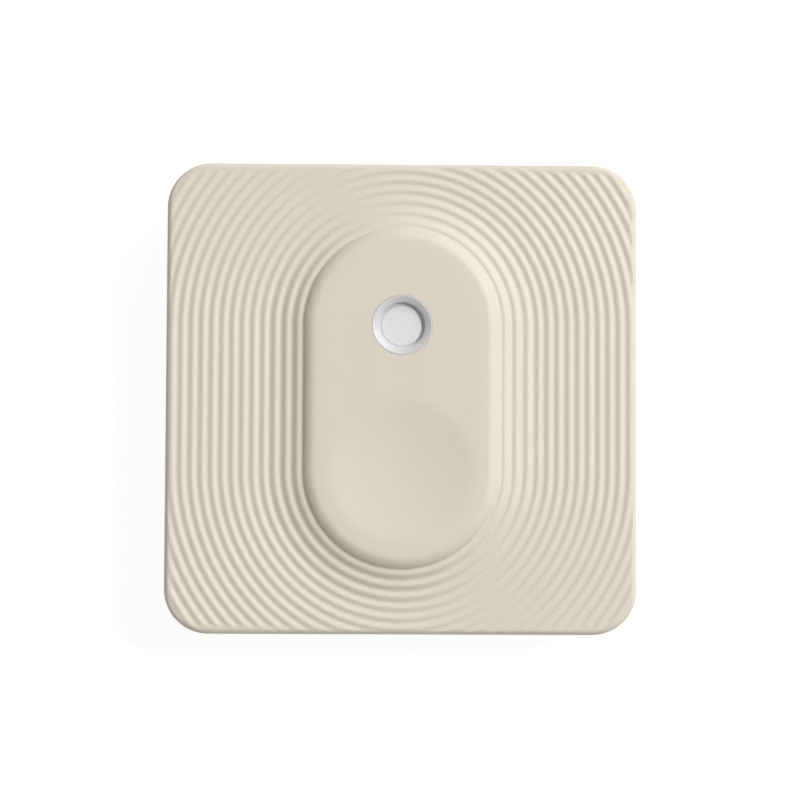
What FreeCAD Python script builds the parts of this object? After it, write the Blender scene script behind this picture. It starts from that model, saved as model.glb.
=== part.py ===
"""Square stick-on temperature and humidity sensor, built as the pieces it is assembled from.

Millimetres. The sensor lies on its back: the origin is the centre of the adhesive pad's underside,
+Z points out of the ribbed front, +Y is the end of the plinth that holds the button.
"""
import FreeCAD, Part
import math
import os
import re
import Sketcher

# Driving sizes: name, millimetres (slope in degrees), what it is.
SIZES = [
    ("case_side", 36.0, "width and depth of the square case"),
    ("case_corner", 3.4, "corner radius of the case, seen from the front"),
    ("side_wall", 1.2, "side wall of the front shell"),
    ("front_wall", 1.15, "front wall, from its ceiling to the rib crests"),
    ("rim_round", 0.65, "rounding of the front rim, where the ribs fade out"),
    ("parting_bevel", 0.15, "bevel on both sides of the parting line"),
    ("arc_spacing", 11.0, "between the centres of the plinth's round ends"),
    ("face_radius", 6.5, "flat face of the plinth, at its round ends"),
    ("shoulder_round", 1.1, "rounding of the plinth's shoulder"),
    ("shoulder_slope", 62, "steepest slope of the shoulder, degrees"),
    ("plinth_rise", 1.15, "plinth face above the rib crests"),
    ("plinth_wall", 1.2, "wall over the hollow in the plinth"),
    ("hollow_radius", 5.3, "hollow under the plinth, at its round ends"),
    ("first_groove", 7.5, "radius of the innermost groove"),
    ("cove_end", 10.9, "radius where the ribs start to climb the cove"),
    ("cove_radius", 9.0, "radius of the cove's profile"),
    ("cove_pitch", 0.86, "pitch of the first ribs, on the cove"),
    ("rib_pitch", 0.78, "pitch of the other ribs"),
    ("rib_depth", 0.12, "depth of the grooves"),
    ("dish_radius", 5.4, "radius of the finger dish"),
    ("dish_depth", 0.35, "depth of the finger dish"),
    ("vent_width", 0.5, "width of a vent slot"),
    ("vent_height", 0.9, "height of a vent slot"),
    ("vent_pitch", 1.0, "pitch of the vent slots"),
    ("pad_side", 29.0, "side of the adhesive pad"),
    ("pad_thick", 0.8, "thickness of the pad"),
    ("pad_proud", 0.3, "how far the pad stands out of its recess"),
    ("pad_gap", 0.2, "gap round the pad in its recess"),
    ("cover_floor", 1.1, "floor of the rear cover"),
    ("cover_side", 1.5, "height of the rear cover's outer side"),
    ("back_round", 0.5, "rounding of the rear cover's back edge"),
    ("tongue_thick", 0.8, "thickness of the tongues that plug into the shell"),
    ("tongue_height", 2.1, "height of the tongues over the parting line"),
    ("tongue_length", 18.0, "length of a tongue"),
    ("fit_gap", 0.1, "gap between the tongues and the shell"),
    ("notch_width", 6.0, "width of the prying notch"),
    ("notch_depth", 0.7, "depth of the prying notch"),
    ("notch_height", 0.6, "height of the prying notch"),
    ("stop_radius", 6.0, "inner radius of the ring that backs the cell"),
    ("stop_width", 0.6, "width of that ring"),
    ("stop_gap", 0.05, "gap between that ring and the cell"),
    ("cell_gap", 0.2, "gap between the cover's floor and the cell"),
    ("cell_radius", 10.0, "radius of the 2032 cell"),
    ("cell_height", 3.2, "height of the 2032 cell"),
    ("can_wall", 0.25, "sheet thickness of the cell's can and cap"),
    ("fold_width", 0.9, "width of the can's folded edge"),
    ("fold_bevel", 0.3, "bevel of the folds of can and cap"),
    ("cap_proud", 0.2, "cap above the can's folded edge"),
    ("cap_gap", 0.1, "gap between the folded edge and the cap"),
    ("gasket_wall", 0.2, "wall of the cell's gasket"),
    ("core_gap", 0.1, "gap round what the cell holds"),
    ("cathode_thick", 1.3, "thickness of the cathode tablet"),
    ("separator_thick", 0.1, "thickness of the separator"),
    ("contact_gap", 0.5, "room between the cell and the board"),
    ("contact_sheet", 0.18, "sheet thickness of the battery contacts"),
    ("contact_width", 2.4, "width of the battery contacts"),
    ("contact_clear", 0.06, "gap between the battery contacts and the cell"),
    ("bridge_half", 4.0, "half length of the negative contact's flat middle"),
    ("finger_run", 3.0, "length of a finger of the negative contact"),
    ("toe_run", 0.8, "length of the finger's upturned toe"),
    ("foot_run", 1.1, "length of the positive contact's foot"),
    ("leg_height", 2.2, "height of the positive contact's leg"),
    ("holder_gap", 0.3, "gap between the holder and the cell's rim"),
    ("holder_wall", 1.0, "wall of the battery holder"),
    ("holder_depth", 2.6, "height of the battery holder"),
    ("holder_band", 1.0, "height of the holder's wall that stays at its openings"),
    ("ledge_width", 0.9, "width of the holder's ledge under the cell's rim"),
    ("grip_half", 3.0, "half width of the holder's finger opening"),
    ("board_gap", 0.5, "gap between the board and the side walls"),
    ("board_thick", 0.8, "thickness of the board"),
    ("part_room", 1.2, "room for components in front of the board"),
    ("slot_width", 0.8, "width of the routed slots round the sensor"),
    ("island_half", 3.0, "half width of the board's island under the sensor"),
    ("island_depth", 5.1, "depth of that island, from the board's edge"),
    ("slot_inset", 1.1, "distance of the routed slots from the board's edge"),
    ("neck_width", 1.6, "neck that joins the island to the board"),
    ("boss_inset", 3.7, "distance of the screws from the inner side walls"),
    ("boss_radius", 1.9, "radius of the screw bosses"),
    ("head_radius", 1.4, "radius of a screw's head"),
    ("head_height", 0.6, "height of a screw's head"),
    ("shank_radius", 0.7, "radius of a screw's thread"),
    ("screw_length", 2.3, "length of a screw under its head"),
    ("screw_gap", 0.05, "gap round a screw's thread in its boss"),
    ("hole_gap", 0.25, "gap round a screw's thread in the board"),
    ("cross_width", 0.35, "width of the cross recess"),
    ("cross_depth", 0.3, "depth of the cross recess"),
    ("ring_radius", 2.3, "outer radius of the light ring in the face"),
    ("ring_gap", 0.05, "gap round the light ring"),
    ("mouth_radius", 2.2, "radius of the ring's conical mouth"),
    ("mouth_depth", 0.42, "depth of the ring's conical mouth"),
    ("flange_radius", 3.2, "radius of the ring's flange, behind the plinth"),
    ("flange_thick", 0.4, "thickness of the ring's flange"),
    ("skirt_wall", 0.7, "wall of the ring's skirt over the lights"),
    ("skirt_height", 0.65, "height of the ring's skirt"),
    ("button_radius", 1.5, "radius of the button's disc"),
    ("button_gap", 0.075, "gap round the button"),
    ("button_sunk", 0.7, "button's face below the plinth's face"),
    ("button_edge", 0.1, "rounding of the button's edge"),
    ("button_lip", 0.6, "width of the lip that holds the button in"),
    ("lip_thick", 0.35, "thickness of that lip"),
    ("lip_gap", 0.05, "gap between that lip and the ring"),
    ("button_travel", 0.25, "travel of the button and the plunger"),
    ("switch_length", 4.2, "length of the tactile switch"),
    ("switch_width", 3.2, "width of the tactile switch"),
    ("switch_height", 0.8, "height of the switch's base"),
    ("well_radius", 1.2, "radius of the well that holds the dome"),
    ("well_stop", 0.06, "gap left under the plunger when it is pressed home"),
    ("frame_sheet", 0.15, "sheet thickness of the switch's frame"),
    ("plunger_radius", 0.8, "radius of the plunger"),
    ("plunger_gap", 0.05, "gap round the plunger and under the button"),
    ("collar_width", 0.2, "width of the plunger's collar"),
    ("collar_height", 0.07, "height of the plunger's collar"),
    ("dome_radius", 1.1, "radius of the snap dome"),
    ("dome_sheet", 0.06, "sheet thickness of the snap dome"),
    ("dome_clear", 0.02, "gap between the dome and the plunger"),
    ("terminal_length", 0.6, "length of a switch terminal"),
    ("terminal_width", 0.7, "width of a switch terminal"),
    ("light_gap", 0.6, "gap between the switch and the lights"),
    ("light_width", 0.8, "width of a light"),
    ("light_length", 1.6, "length of a light"),
    ("light_height", 0.6, "height of a light"),
    ("sensor_side", 2.5, "side of the humidity sensor"),
    ("sensor_height", 0.9, "height of the humidity sensor"),
    ("sensor_inset", 2.1, "centre of the humidity sensor from the board's edge"),
    ("membrane_radius", 0.95, "radius of the sensor's membrane"),
    ("membrane_thick", 0.12, "thickness of the sensor's membrane"),
    ("seal_wall", 0.7, "wall of the foam seal round the sensor"),
    ("seal_inset", 0.1, "gap between the foam seal and the island's edge"),
    ("chip_side", 5.0, "side of the radio chip"),
    ("chip_height", 0.85, "height of the radio chip"),
    ("chip_inset", 8.7, "middle of the radio chip from the board's left edge"),
    ("chip_down", 3.2, "radio chip, below the middle"),
    ("crystal_length", 3.2, "length of both crystals"),
    ("crystal_width", 2.5, "width of the main crystal"),
    ("crystal_height", 0.7, "height of both crystals"),
    ("clock_width", 1.5, "width of the clock crystal"),
    ("crystal_gap", 1.9, "gap between the radio chip and a crystal"),
    ("antenna_length", 7.0, "length of the chip antenna"),
    ("antenna_width", 2.0, "width of the chip antenna"),
    ("antenna_height", 0.8, "height of the chip antenna"),
    ("antenna_inset", 0.8, "gap between the antenna and the board's edges"),
    ("choke_length", 2.0, "length of the inductor"),
    ("choke_width", 1.6, "width of the inductor"),
    ("choke_height", 1.0, "height of the inductor"),
    ("small_length", 1.0, "length of a capacitor or resistor"),
    ("small_width", 0.5, "width of a capacitor or resistor"),
    ("capacitor_height", 0.5, "height of a capacitor"),
    ("resistor_height", 0.35, "height of a resistor"),
    ("small_gap", 0.45, "gap between the radio chip and its capacitors"),
    ("row_pitch", 1.3, "pitch of the capacitors and resistors"),
]
VENTS = 5
RESISTORS = 6
CREST_SHARE = 0.3     # share of the pitch that is crest, and the same for groove floor

# Heights, from the back to the front.
COVER_INSIDE = "(pad_proud + cover_floor)"
SPLIT = "(pad_proud + cover_side)"
CELL_BACK = f"({COVER_INSIDE} + cell_gap)"
CELL_FRONT = f"({CELL_BACK} + cell_height)"
BOARD_BACK = f"({CELL_FRONT} + contact_gap)"
BOARD_FRONT = f"({BOARD_BACK} + board_thick)"
CEILING = f"({BOARD_FRONT} + part_room)"
CRESTS = f"({CEILING} + front_wall)"
FACE = f"({CRESTS} + plinth_rise)"
HOLLOW_TOP = f"({FACE} - plinth_wall)"
RIM_TOP = f"({CRESTS} + rib_depth / 2)"
RING_BACK = f"({HOLLOW_TOP} - flange_thick)"
BUTTON_BACK = f"({RING_BACK} - lip_gap - lip_thick)"
SWITCH_TOP = f"({BOARD_FRONT} + switch_height)"
PLUNGER_BACK = f"({SWITCH_TOP} - dome_clear - collar_height)"
WELL_FLOOR = f"({PLUNGER_BACK} - button_travel - well_stop)"

# Half sizes and places in plan.
CASE_HALF = "(case_side / 2)"
INNER_HALF = "(case_side / 2 - side_wall)"
TONGUE_OUTER = f"({INNER_HALF} - fit_gap)"
TONGUE_INNER = f"({TONGUE_OUTER} - tongue_thick)"
BOARD_HALF = f"({INNER_HALF} - board_gap)"
BOSS_PLACE = f"({INNER_HALF} - boss_inset)"
ARC_Y = "(arc_spacing / 2)"
SCREW_SIDES = [(-1, 1), (-1, -1), (1, -1)]   # the fourth corner is kept free for the antenna

doc = FreeCAD.newDocument("sensor")
sheet = doc.addObject("Spreadsheet::Sheet", "dims")


def fill_sheet():
    """One row for each driving size: its value, with its name as alias, and what it is."""
    for row, (name, size, meaning) in enumerate(SIZES, 1):
        sheet.set(f"A{row}", meaning)
        sheet.set(f"B{row}", str(size))
        sheet.setAlias(f"B{row}", name)
    doc.recompute()


def cells(text):
    """An expression of size names, with each name pointing at its cell."""
    return re.sub(r"[a-z]+(?:_[a-z]+)+", r"dims.\g<0>", text)


def value(text):
    """The number that an expression of size names gives."""
    return float(sheet.evalExpression(text))


def bind(thing, **sizes):
    """Tie properties of an object to expressions of size names."""
    for name, text in sizes.items():
        thing.setExpression(name.replace("__", "."), cells(text))


def origin_plane(body, role):
    return next(f for f in body.Origin.OriginFeatures if f.Role == role)


def new_body(name):
    body = doc.addObject("PartDesign::Body", name)
    body.Label = name
    return body


def sketch_on(body, name, role="XY_Plane", offset="0"):
    """A sketch on one of the body's own origin planes, moved along the plane's normal."""
    sketch = body.newObject("Sketcher::SketchObject", name)
    sketch.AttachmentSupport = [(origin_plane(body, role), "")]
    sketch.MapMode = "FlatFace"
    bind(sketch, AttachmentOffset__Base__z=offset)
    return sketch


def add_bound(sketch, constraints):
    """Add (kind, places, expression) constraints, each tied to its expression."""
    first = sketch.ConstraintCount
    sketch.addConstraint([Sketcher.Constraint(kind, *places, value(text)) for kind, places, text in constraints])
    for number, (_, _, text) in enumerate(constraints, first):
        sketch.setExpression(f"Constraints[{number}]", cells(text))


def outline(sketch, points, arcs=None):
    """A closed outline through points. arcs gives the radius of the sides that are arcs, by number,
    positive where the arc bulges to the left of its direction and negative where it bulges to the right."""
    arcs = arcs or {}
    at = [FreeCAD.Vector(value(x), value(y), 0) for x, y in points]
    first = sketch.GeometryCount
    sides = []
    ends = []
    for k, start in enumerate(at):
        stop = at[(k + 1) % len(at)]
        if k not in arcs:
            sides.append(Part.LineSegment(start, stop))
            ends.append((first + k, 1, 2))
            continue
        radius = value(arcs[k])
        chord = stop - start
        rise = abs(radius) - math.sqrt(radius ** 2 - chord.Length ** 2 / 4)
        bulge = FreeCAD.Vector(-chord.y, chord.x, 0).normalize() * math.copysign(rise, radius)
        sides.append(Part.ArcOfCircle(start, (start + stop) * 0.5 + bulge, stop))
        ends.append((first + k, 2, 1) if radius > 0 else (first + k, 1, 2))
    sketch.addGeometry(sides)
    joints = zip(ends, ends[1:] + ends[:1])
    sketch.addConstraint([Sketcher.Constraint("Coincident", a[0], a[2], b[0], b[1]) for a, b in joints])
    fixed = []
    for (x, y), (side, start, _) in zip(points, ends):
        fixed.append(("DistanceX", (-1, 1, side, start), x))
        fixed.append(("DistanceY", (-1, 1, side, start), y))
    fixed += [("Radius", (ends[k][0],), f"abs({radius})") for k, radius in arcs.items()]
    add_bound(sketch, fixed)


def rectangle(sketch, left, low, right, high):
    outline(sketch, [(left, low), (right, low), (right, high), (left, high)])


def rounded(sketch, half_x, half_y, corner):
    """A rectangle about the origin with rounded corners."""
    x, y, c = f"({half_x})", f"({half_y})", f"({corner})"
    points = [
        (f"{x} - {c}", f"-{y}"), (x, f"{c} - {y}"), (x, f"{y} - {c}"), (f"{x} - {c}", y),
        (f"{c} - {x}", y), (f"-{x}", f"{y} - {c}"), (f"-{x}", f"{c} - {y}"), (f"{c} - {x}", f"-{y}"),
    ]
    outline(sketch, points, {k: f"-{c}" for k in (0, 2, 4, 6)})


def stadium(sketch, radius, half_spacing):
    """A pill outline along Y."""
    r, y = f"({radius})", f"({half_spacing})"
    points = [(r, f"-{y}"), (r, y), ("0", f"{y} + {r}"), (f"-{r}", y), (f"-{r}", f"-{y}"), ("0", f"-{y} - {r}")]
    outline(sketch, points, {k: f"-{r}" for k in (1, 2, 4, 5)})


def circle(sketch, radius, x="0", y="0"):
    number = sketch.addGeometry(Part.Circle(
        FreeCAD.Vector(value(x), value(y), 0), FreeCAD.Vector(0, 0, 1), value(radius)))
    add_bound(sketch, [("Radius", (number,), radius)])
    add_bound(sketch, [("DistanceX", (-1, 1, number, 3), x), ("DistanceY", (-1, 1, number, 3), y)])


def pad(body, sketch, length, middle=False, kind="Pad", reverse=False):
    feature = body.newObject(f"PartDesign::{kind}", f"{sketch.Name}_{kind.lower()}")
    feature.Profile = sketch
    bind(feature, Length=length)
    feature.Midplane = middle
    feature.Reversed = reverse
    return feature


def cut(body, sketch, depth, upward=False, middle=False):
    """A pocket from the sketch, down from it or, if upward, up from it."""
    return pad(body, sketch, depth, middle, "Pocket", upward)


def turn(body, sketch, angle=360, kind="Revolution"):
    """The sketch turned about its own vertical axis."""
    feature = body.newObject(f"PartDesign::{kind}", f"{sketch.Name}_{kind.lower()}")
    feature.Profile = sketch
    feature.ReferenceAxis = (sketch, ["V_Axis"])
    feature.Angle = angle
    return feature


def mirror(body, feature, role):
    """The feature again on the other side of one of the body's origin planes."""
    copy = body.newObject("PartDesign::Mirrored", f"{feature.Name}_mirror")
    copy.Originals = [feature]
    copy.MirrorPlane = (origin_plane(body, role), [""])
    body.Tip = copy
    return copy


def ease_edges(body, base, level, size, kind="Fillet"):
    """Round or bevel the base's edges that lie at one height."""
    doc.recompute()
    height = value(level)
    names = [
        f"Edge{number}" for number, edge in enumerate(base.Shape.Edges, 1)
        if max(abs(vertex.Z - height) for vertex in edge.Vertexes) < 1e-4
    ]
    feature = body.newObject(f"PartDesign::{kind}", f"{base.Name}_{kind.lower()}")
    feature.Base = (base, names)
    bind(feature, **{"Radius" if kind == "Fillet" else "Size": size})
    return feature


def turned_piece(name, points, arcs=None, y="0"):
    """A body turned from one outline of (radius, height) points about the vertical through (0, y)."""
    body = new_body(name)
    sketch = sketch_on(body, f"{name}_section", "XZ_Plane", f"-({y})")
    outline(sketch, points, arcs)
    turn(body, sketch)
    return body


def block(name, x, y, base, length, width, height):
    """A plain box about (x, y), standing on base."""
    box = doc.addObject("Part::Box", name)
    bind(box, Length=length, Width=width, Height=height)
    bind(box, Placement__Base__x=f"{x} - ({length}) / 2", Placement__Base__y=f"{y} - ({width}) / 2",
         Placement__Base__z=base)
    return box


def rod(name, x, y, base, radius, height):
    """A plain cylinder about (x, y), standing on base."""
    cylinder = doc.addObject("Part::Cylinder", name)
    bind(cylinder, Radius=radius, Height=height)
    bind(cylinder, Placement__Base__x=x, Placement__Base__y=y, Placement__Base__z=base)
    return cylinder


def joined(name, kind, pieces):
    """Several shapes as one object: Compound keeps them separate, MultiFuse makes them one."""
    whole = doc.addObject(f"Part::{kind}", name)
    whole.Label = name
    if kind == "Compound":
        whole.Links = pieces
    else:
        whole.Shapes = pieces
    return whole


def removed(name, base, tool):
    result = doc.addObject("Part::Cut", name)
    result.Label = name
    result.Base = base
    result.Tool = tool
    return result


def cove_grooves():
    """How many grooves after the first one keep the cove's wider pitch."""
    return max(round(value("(cove_end - first_groove) / cove_pitch")) - 1, 0)


def groove_place(number):
    """Radius of a groove's middle, counted from the plinth."""
    wide = min(number, cove_grooves())
    return f"(first_groove + {wide} * cove_pitch + {number - wide} * rib_pitch)"


def on_cove(radius, level):
    """A height of the ribbed field, raised where the radius lies on the cove."""
    return f"{level} + cove_radius - sqrt(cove_radius ^ 2 - max(cove_end - ({radius}); 0) ^ 2)"


def front_profile():
    """Half section of the front, out from the middle: face, round shoulder, flank, cove and ribs."""
    below = f"({SPLIT} - side_wall)"
    foot = "(face_radius + shoulder_round * sin(shoulder_slope))"
    points = [
        ("0", below), ("0", FACE), ("face_radius", FACE),
        (foot, f"{FACE} - shoulder_round * (1 - cos(shoulder_slope))"),
    ]
    corner_reach = math.hypot(value(CASE_HALF), value(CASE_HALF) - value(ARC_Y))
    wide = cove_grooves()
    flat_reach = corner_reach - value(groove_place(wide))
    grooves = wide + 1 + max(math.ceil(flat_reach / value("rib_pitch")), 0)
    floor = f"({CRESTS} - rib_depth)"
    for number in range(grooves):
        inner = "cove_pitch" if number <= wide else "rib_pitch"
        outer = "cove_pitch" if number < wide else "rib_pitch"
        middle = groove_place(number)
        corners = [
            (f"{middle} - {(1 - CREST_SHARE) / 2} * {inner}", CRESTS),
            (f"max({middle} - {CREST_SHARE / 2} * {inner}; {foot} + rib_depth / 4)", floor),
            (f"{middle} + {CREST_SHARE / 2} * {outer}", floor),
            (f"{middle} + {(1 - CREST_SHARE) / 2} * {outer}", CRESTS),
        ]
        for radius, level in corners[1 if number == 0 else 0:]:
            points.append((radius, on_cove(radius, level)))
    points.append((points[-1][0], below))
    return points, {2: "shoulder_round"}


def case_envelope():
    """Rounded square block that the front is cut to, with a tower that clears the plinth and its cove."""
    body = new_body("case_envelope")
    plan = sketch_on(body, "case_plan", offset=SPLIT)
    rounded(plan, CASE_HALF, CASE_HALF, "case_corner")
    block_pad = pad(body, plan, f"{RIM_TOP} - {SPLIT}")
    rim = ease_edges(body, block_pad, RIM_TOP, "rim_round")
    ease_edges(body, rim, SPLIT, "parting_bevel", "Chamfer")
    tower = sketch_on(body, "tower_plan", offset=CEILING)
    stadium(tower, "cove_end", ARC_Y)
    pad(body, tower, f"{FACE} - {CEILING} + plinth_rise")
    return body


def front_shell():
    """The front: plinth, cove and ribs in one moulding, hollow, with bosses, vents and a finger dish."""
    body = new_body("front_shell")
    profile = sketch_on(body, "front_section", "XZ_Plane", f"-{ARC_Y}")
    outline(profile, *front_profile())
    mirror(body, pad(body, profile, "arc_spacing"), "YZ_Plane")
    mirror(body, turn(body, profile, 180), "XZ_Plane")
    case = body.newObject("PartDesign::Boolean", "case_cut")
    case.Type = "Common"
    case.setObjects([case_envelope()])

    room = sketch_on(body, "room", offset=SPLIT)
    rounded(room, INNER_HALF, INNER_HALF, "case_corner - side_wall")
    cut(body, room, f"{CEILING} - {SPLIT}", upward=True)
    hollow = sketch_on(body, "hollow", offset=CEILING)
    stadium(hollow, "hollow_radius", ARC_Y)
    cut(body, hollow, f"{HOLLOW_TOP} - {CEILING}", upward=True)

    bosses = sketch_on(body, "bosses", offset=BOARD_FRONT)
    pilots = sketch_on(body, "pilots", offset=BOARD_FRONT)
    for side_x, side_y in SCREW_SIDES:
        x, y = f"{side_x} * {BOSS_PLACE}", f"{side_y} * {BOSS_PLACE}"
        circle(bosses, "boss_radius", x, y)
        circle(pilots, "shank_radius + screw_gap", x, y)
    pad(body, bosses, "part_room + front_wall / 4")
    cut(body, pilots, "screw_length - board_thick + screw_gap", upward=True)

    vents = sketch_on(body, "vents", "XZ_Plane", CASE_HALF)
    low = f"{BOARD_FRONT} + (part_room - vent_height) / 2"
    for number in range(VENTS):
        middle = f"{number - (VENTS - 1) / 2} * vent_pitch"
        rectangle(vents, f"{middle} - vent_width / 2", low, f"{middle} + vent_width / 2", f"{low} + vent_height")
    cut(body, vents, "2 * side_wall", middle=True)

    ring_hole = sketch_on(body, "ring_hole", offset=FACE)
    circle(ring_hole, "ring_radius + ring_gap", y=ARC_Y)
    cut(body, ring_hole, "2 * plinth_wall")
    dish = sketch_on(body, "dish", "XZ_Plane", ARC_Y)
    above = f"{FACE} + dish_depth"
    outline(dish, [("0", f"{FACE} - dish_depth"), ("dish_radius", FACE), ("dish_radius", above), ("0", above)],
            {0: "-(dish_radius ^ 2 + dish_depth ^ 2) / (2 * dish_depth)"})
    turn(body, dish, kind="Groove")
    return body


def light_ring():
    """Translucent ring: conical mouth in the face, flange behind the plinth, skirt over the lights."""
    bore = "(button_radius + button_gap)"
    skirt_back = f"({RING_BACK} - skirt_height)"
    return turned_piece("light_ring", [
        (bore, RING_BACK), (bore, f"{FACE} - mouth_depth"), ("mouth_radius", FACE), ("ring_radius", FACE),
        ("ring_radius", HOLLOW_TOP), ("flange_radius", HOLLOW_TOP), ("flange_radius", skirt_back),
        ("flange_radius - skirt_wall", skirt_back), ("flange_radius - skirt_wall", RING_BACK),
    ], y=ARC_Y)


def button_cap():
    """Disc in the ring, with a lip below that holds it in."""
    face = f"({FACE} - button_sunk)"
    lip = "(button_radius + button_lip)"
    lip_front = f"({BUTTON_BACK} + lip_thick)"
    return turned_piece("button_cap", [
        ("0", BUTTON_BACK), (lip, BUTTON_BACK), (lip, lip_front), ("button_radius", lip_front),
        ("button_radius", f"{face} - button_edge"), ("button_radius - button_edge", face), ("0", face),
    ], {4: "-button_edge"}, y=ARC_Y)


def rear_cover():
    """Back of the case: floor, outer side, four tongues, pad recess, cell stop and prying notch."""
    body = new_body("rear_cover")
    plan = sketch_on(body, "cover_plan", offset="pad_proud")
    rounded(plan, CASE_HALF, CASE_HALF, "case_corner")
    plate = pad(body, plan, "cover_side")
    back = ease_edges(body, plate, "pad_proud", "back_round")
    ease_edges(body, back, SPLIT, "parting_bevel", "Chamfer")
    inside = sketch_on(body, "cover_room", offset=SPLIT)
    rounded(inside, TONGUE_INNER, TONGUE_INNER, "case_corner - side_wall - fit_gap - tongue_thick / 2")
    cut(body, inside, "cover_side - cover_floor")
    tongues = sketch_on(body, "tongues", offset=COVER_INSIDE)
    half = "tongue_length / 2"
    for sign, outer, inner in (("", TONGUE_OUTER, TONGUE_INNER), ("-", TONGUE_INNER, TONGUE_OUTER)):
        near, far = (inner, outer) if sign == "" else (outer, inner)
        low, high = (near, far) if sign == "" else (f"-{far}", f"-{near}")
        rectangle(tongues, f"-{half}", low, half, high)
        rectangle(tongues, low, f"-{half}", high, half)
    pad(body, tongues, "cover_side - cover_floor + tongue_height")
    recess = sketch_on(body, "pad_recess", offset="pad_proud")
    rounded(recess, "pad_side / 2 + pad_gap", "pad_side / 2 + pad_gap", "pad_gap")
    cut(body, recess, "pad_thick - pad_proud", upward=True)
    stop = sketch_on(body, "cell_stop", offset=COVER_INSIDE)
    circle(stop, "stop_radius")
    circle(stop, "stop_radius + stop_width")
    pad(body, stop, "cell_gap - stop_gap")
    notch = sketch_on(body, "notch", "XZ_Plane", CASE_HALF)
    rectangle(notch, "-notch_width / 2", f"{SPLIT} - notch_height", "notch_width / 2", f"{SPLIT} + notch_height")
    cut(body, notch, "2 * notch_depth", middle=True)
    return body


def adhesive_pad():
    body = new_body("adhesive_pad")
    plan = sketch_on(body, "pad_plan")
    rectangle(plan, "-pad_side / 2", "-pad_side / 2", "pad_side / 2", "pad_side / 2")
    pad(body, plan, "pad_thick")
    return body


def main_board():
    """Board with three screw holes and the routed slots that keep heat away from the sensor."""
    body = new_body("main_board")
    plan = sketch_on(body, "board_plan", offset=BOARD_BACK)
    rounded(plan, BOARD_HALF, BOARD_HALF, "case_corner - side_wall")
    pad(body, plan, "board_thick")
    holes = sketch_on(body, "board_holes", offset=BOARD_FRONT)
    for side_x, side_y in SCREW_SIDES:
        circle(holes, "shank_radius + hole_gap", f"{side_x} * {BOSS_PLACE}", f"{side_y} * {BOSS_PLACE}")
    edge = f"(slot_inset - {BOARD_HALF})"
    end = f"(island_depth - {BOARD_HALF})"
    far, outer = f"({end} + slot_width)", "(island_half + slot_width)"
    neck = "(island_half - neck_width)"
    outline(holes, [(f"-{outer}", edge), ("-island_half", edge), ("-island_half", end), (neck, end),
                    (neck, far), (f"-{outer}", far)])
    rectangle(holes, "island_half", edge, outer, far)
    cut(body, holes, "2 * board_thick", middle=True)
    return body


def board_screws():
    """Three pan-head screws with a cross recess, through the board from the back."""
    screws = []
    for number, (side_x, side_y) in enumerate(SCREW_SIDES, 1):
        x, y = f"{side_x} * {BOSS_PLACE}", f"{side_y} * {BOSS_PLACE}"
        head_back = f"{BOARD_BACK} - head_height"
        head = rod(f"screw_head_{number}", x, y, head_back, "head_radius", "head_height")
        shank = rod(f"screw_shank_{number}", x, y, BOARD_BACK, "shank_radius", "screw_length")
        blank = joined(f"screw_blank_{number}", "MultiFuse", [head, shank])
        arm = "(1.2 * head_radius)"
        bars = [
            block(f"cross_{number}_along", x, y, head_back, arm, "cross_width", "cross_depth"),
            block(f"cross_{number}_over", x, y, head_back, "cross_width", arm, "cross_depth"),
        ]
        cross = joined(f"cross_{number}", "MultiFuse", bars)
        screws.append(removed(f"screw_{number}", blank, cross))
    return joined("board_screws", "Compound", screws)


def battery_holder():
    """Ring round the cell on the board's back, with a ledge, a finger opening and a contact slot."""
    inner = "(cell_radius + holder_gap)"
    outer = f"({inner} + holder_wall)"
    low = f"({BOARD_BACK} - holder_depth)"
    ledge = f"({CELL_FRONT} + contact_clear)"
    body = turned_piece("battery_holder", [
        (inner, low), (outer, low), (outer, BOARD_BACK), (f"{inner} - ledge_width", BOARD_BACK),
        (f"{inner} - ledge_width", ledge), (inner, ledge),
    ])
    openings = sketch_on(body, "holder_openings", offset=low)
    rectangle(openings, f"-{outer} - holder_gap", "-grip_half", f"-{inner} + holder_gap", "grip_half")
    rectangle(openings, f"{inner} - holder_gap / 2", "-contact_width", f"{outer} + holder_gap", "contact_width")
    cut(body, openings, "holder_depth - holder_band", upward=True)
    slot = sketch_on(body, "contact_slot", offset=low)
    rectangle(slot, f"{inner} - 2 * ledge_width", "-contact_width / 2 - fit_gap",
              f"{inner} + fit_gap", "contact_width / 2 + fit_gap")
    cut(body, slot, "holder_depth", upward=True)
    return body


def positive_contact():
    """Bent strip: a foot on the board and a leg beside the can."""
    body = new_body("positive_contact")
    side = sketch_on(body, "positive_side", "XZ_Plane")
    near = "(cell_radius + contact_clear)"
    far = f"({near} + contact_sheet)"
    bend = f"({BOARD_BACK} - contact_sheet)"
    low = f"({BOARD_BACK} - leg_height)"
    outline(side, [(near, low), (far, low), (far, BOARD_BACK), (f"{near} - foot_run", BOARD_BACK),
                   (f"{near} - foot_run", bend), (near, bend)])
    pad(body, side, "contact_width", middle=True)
    return body


def negative_contact():
    """Spring strip under the cap: flat middle on the board and two fingers bent to the cell."""
    body = new_body("negative_contact")
    side = sketch_on(body, "negative_side", "YZ_Plane")
    bend = f"({BOARD_BACK} - contact_sheet)"
    tip = f"({CELL_FRONT} + contact_clear)"
    reach = "(bridge_half + finger_run)"
    toe = f"({reach} + toe_run)"
    front = [("bridge_half", BOARD_BACK), (reach, f"{tip} + contact_sheet"), (toe, f"{tip} + 2 * contact_sheet")]
    back = [(toe, f"{tip} + contact_sheet"), (reach, tip), ("bridge_half", bend)]
    right = front + back
    outline(side, right + [(f"-{y}", z) for y, z in reversed(right)])
    pad(body, side, "contact_width", middle=True)
    return body


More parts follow.
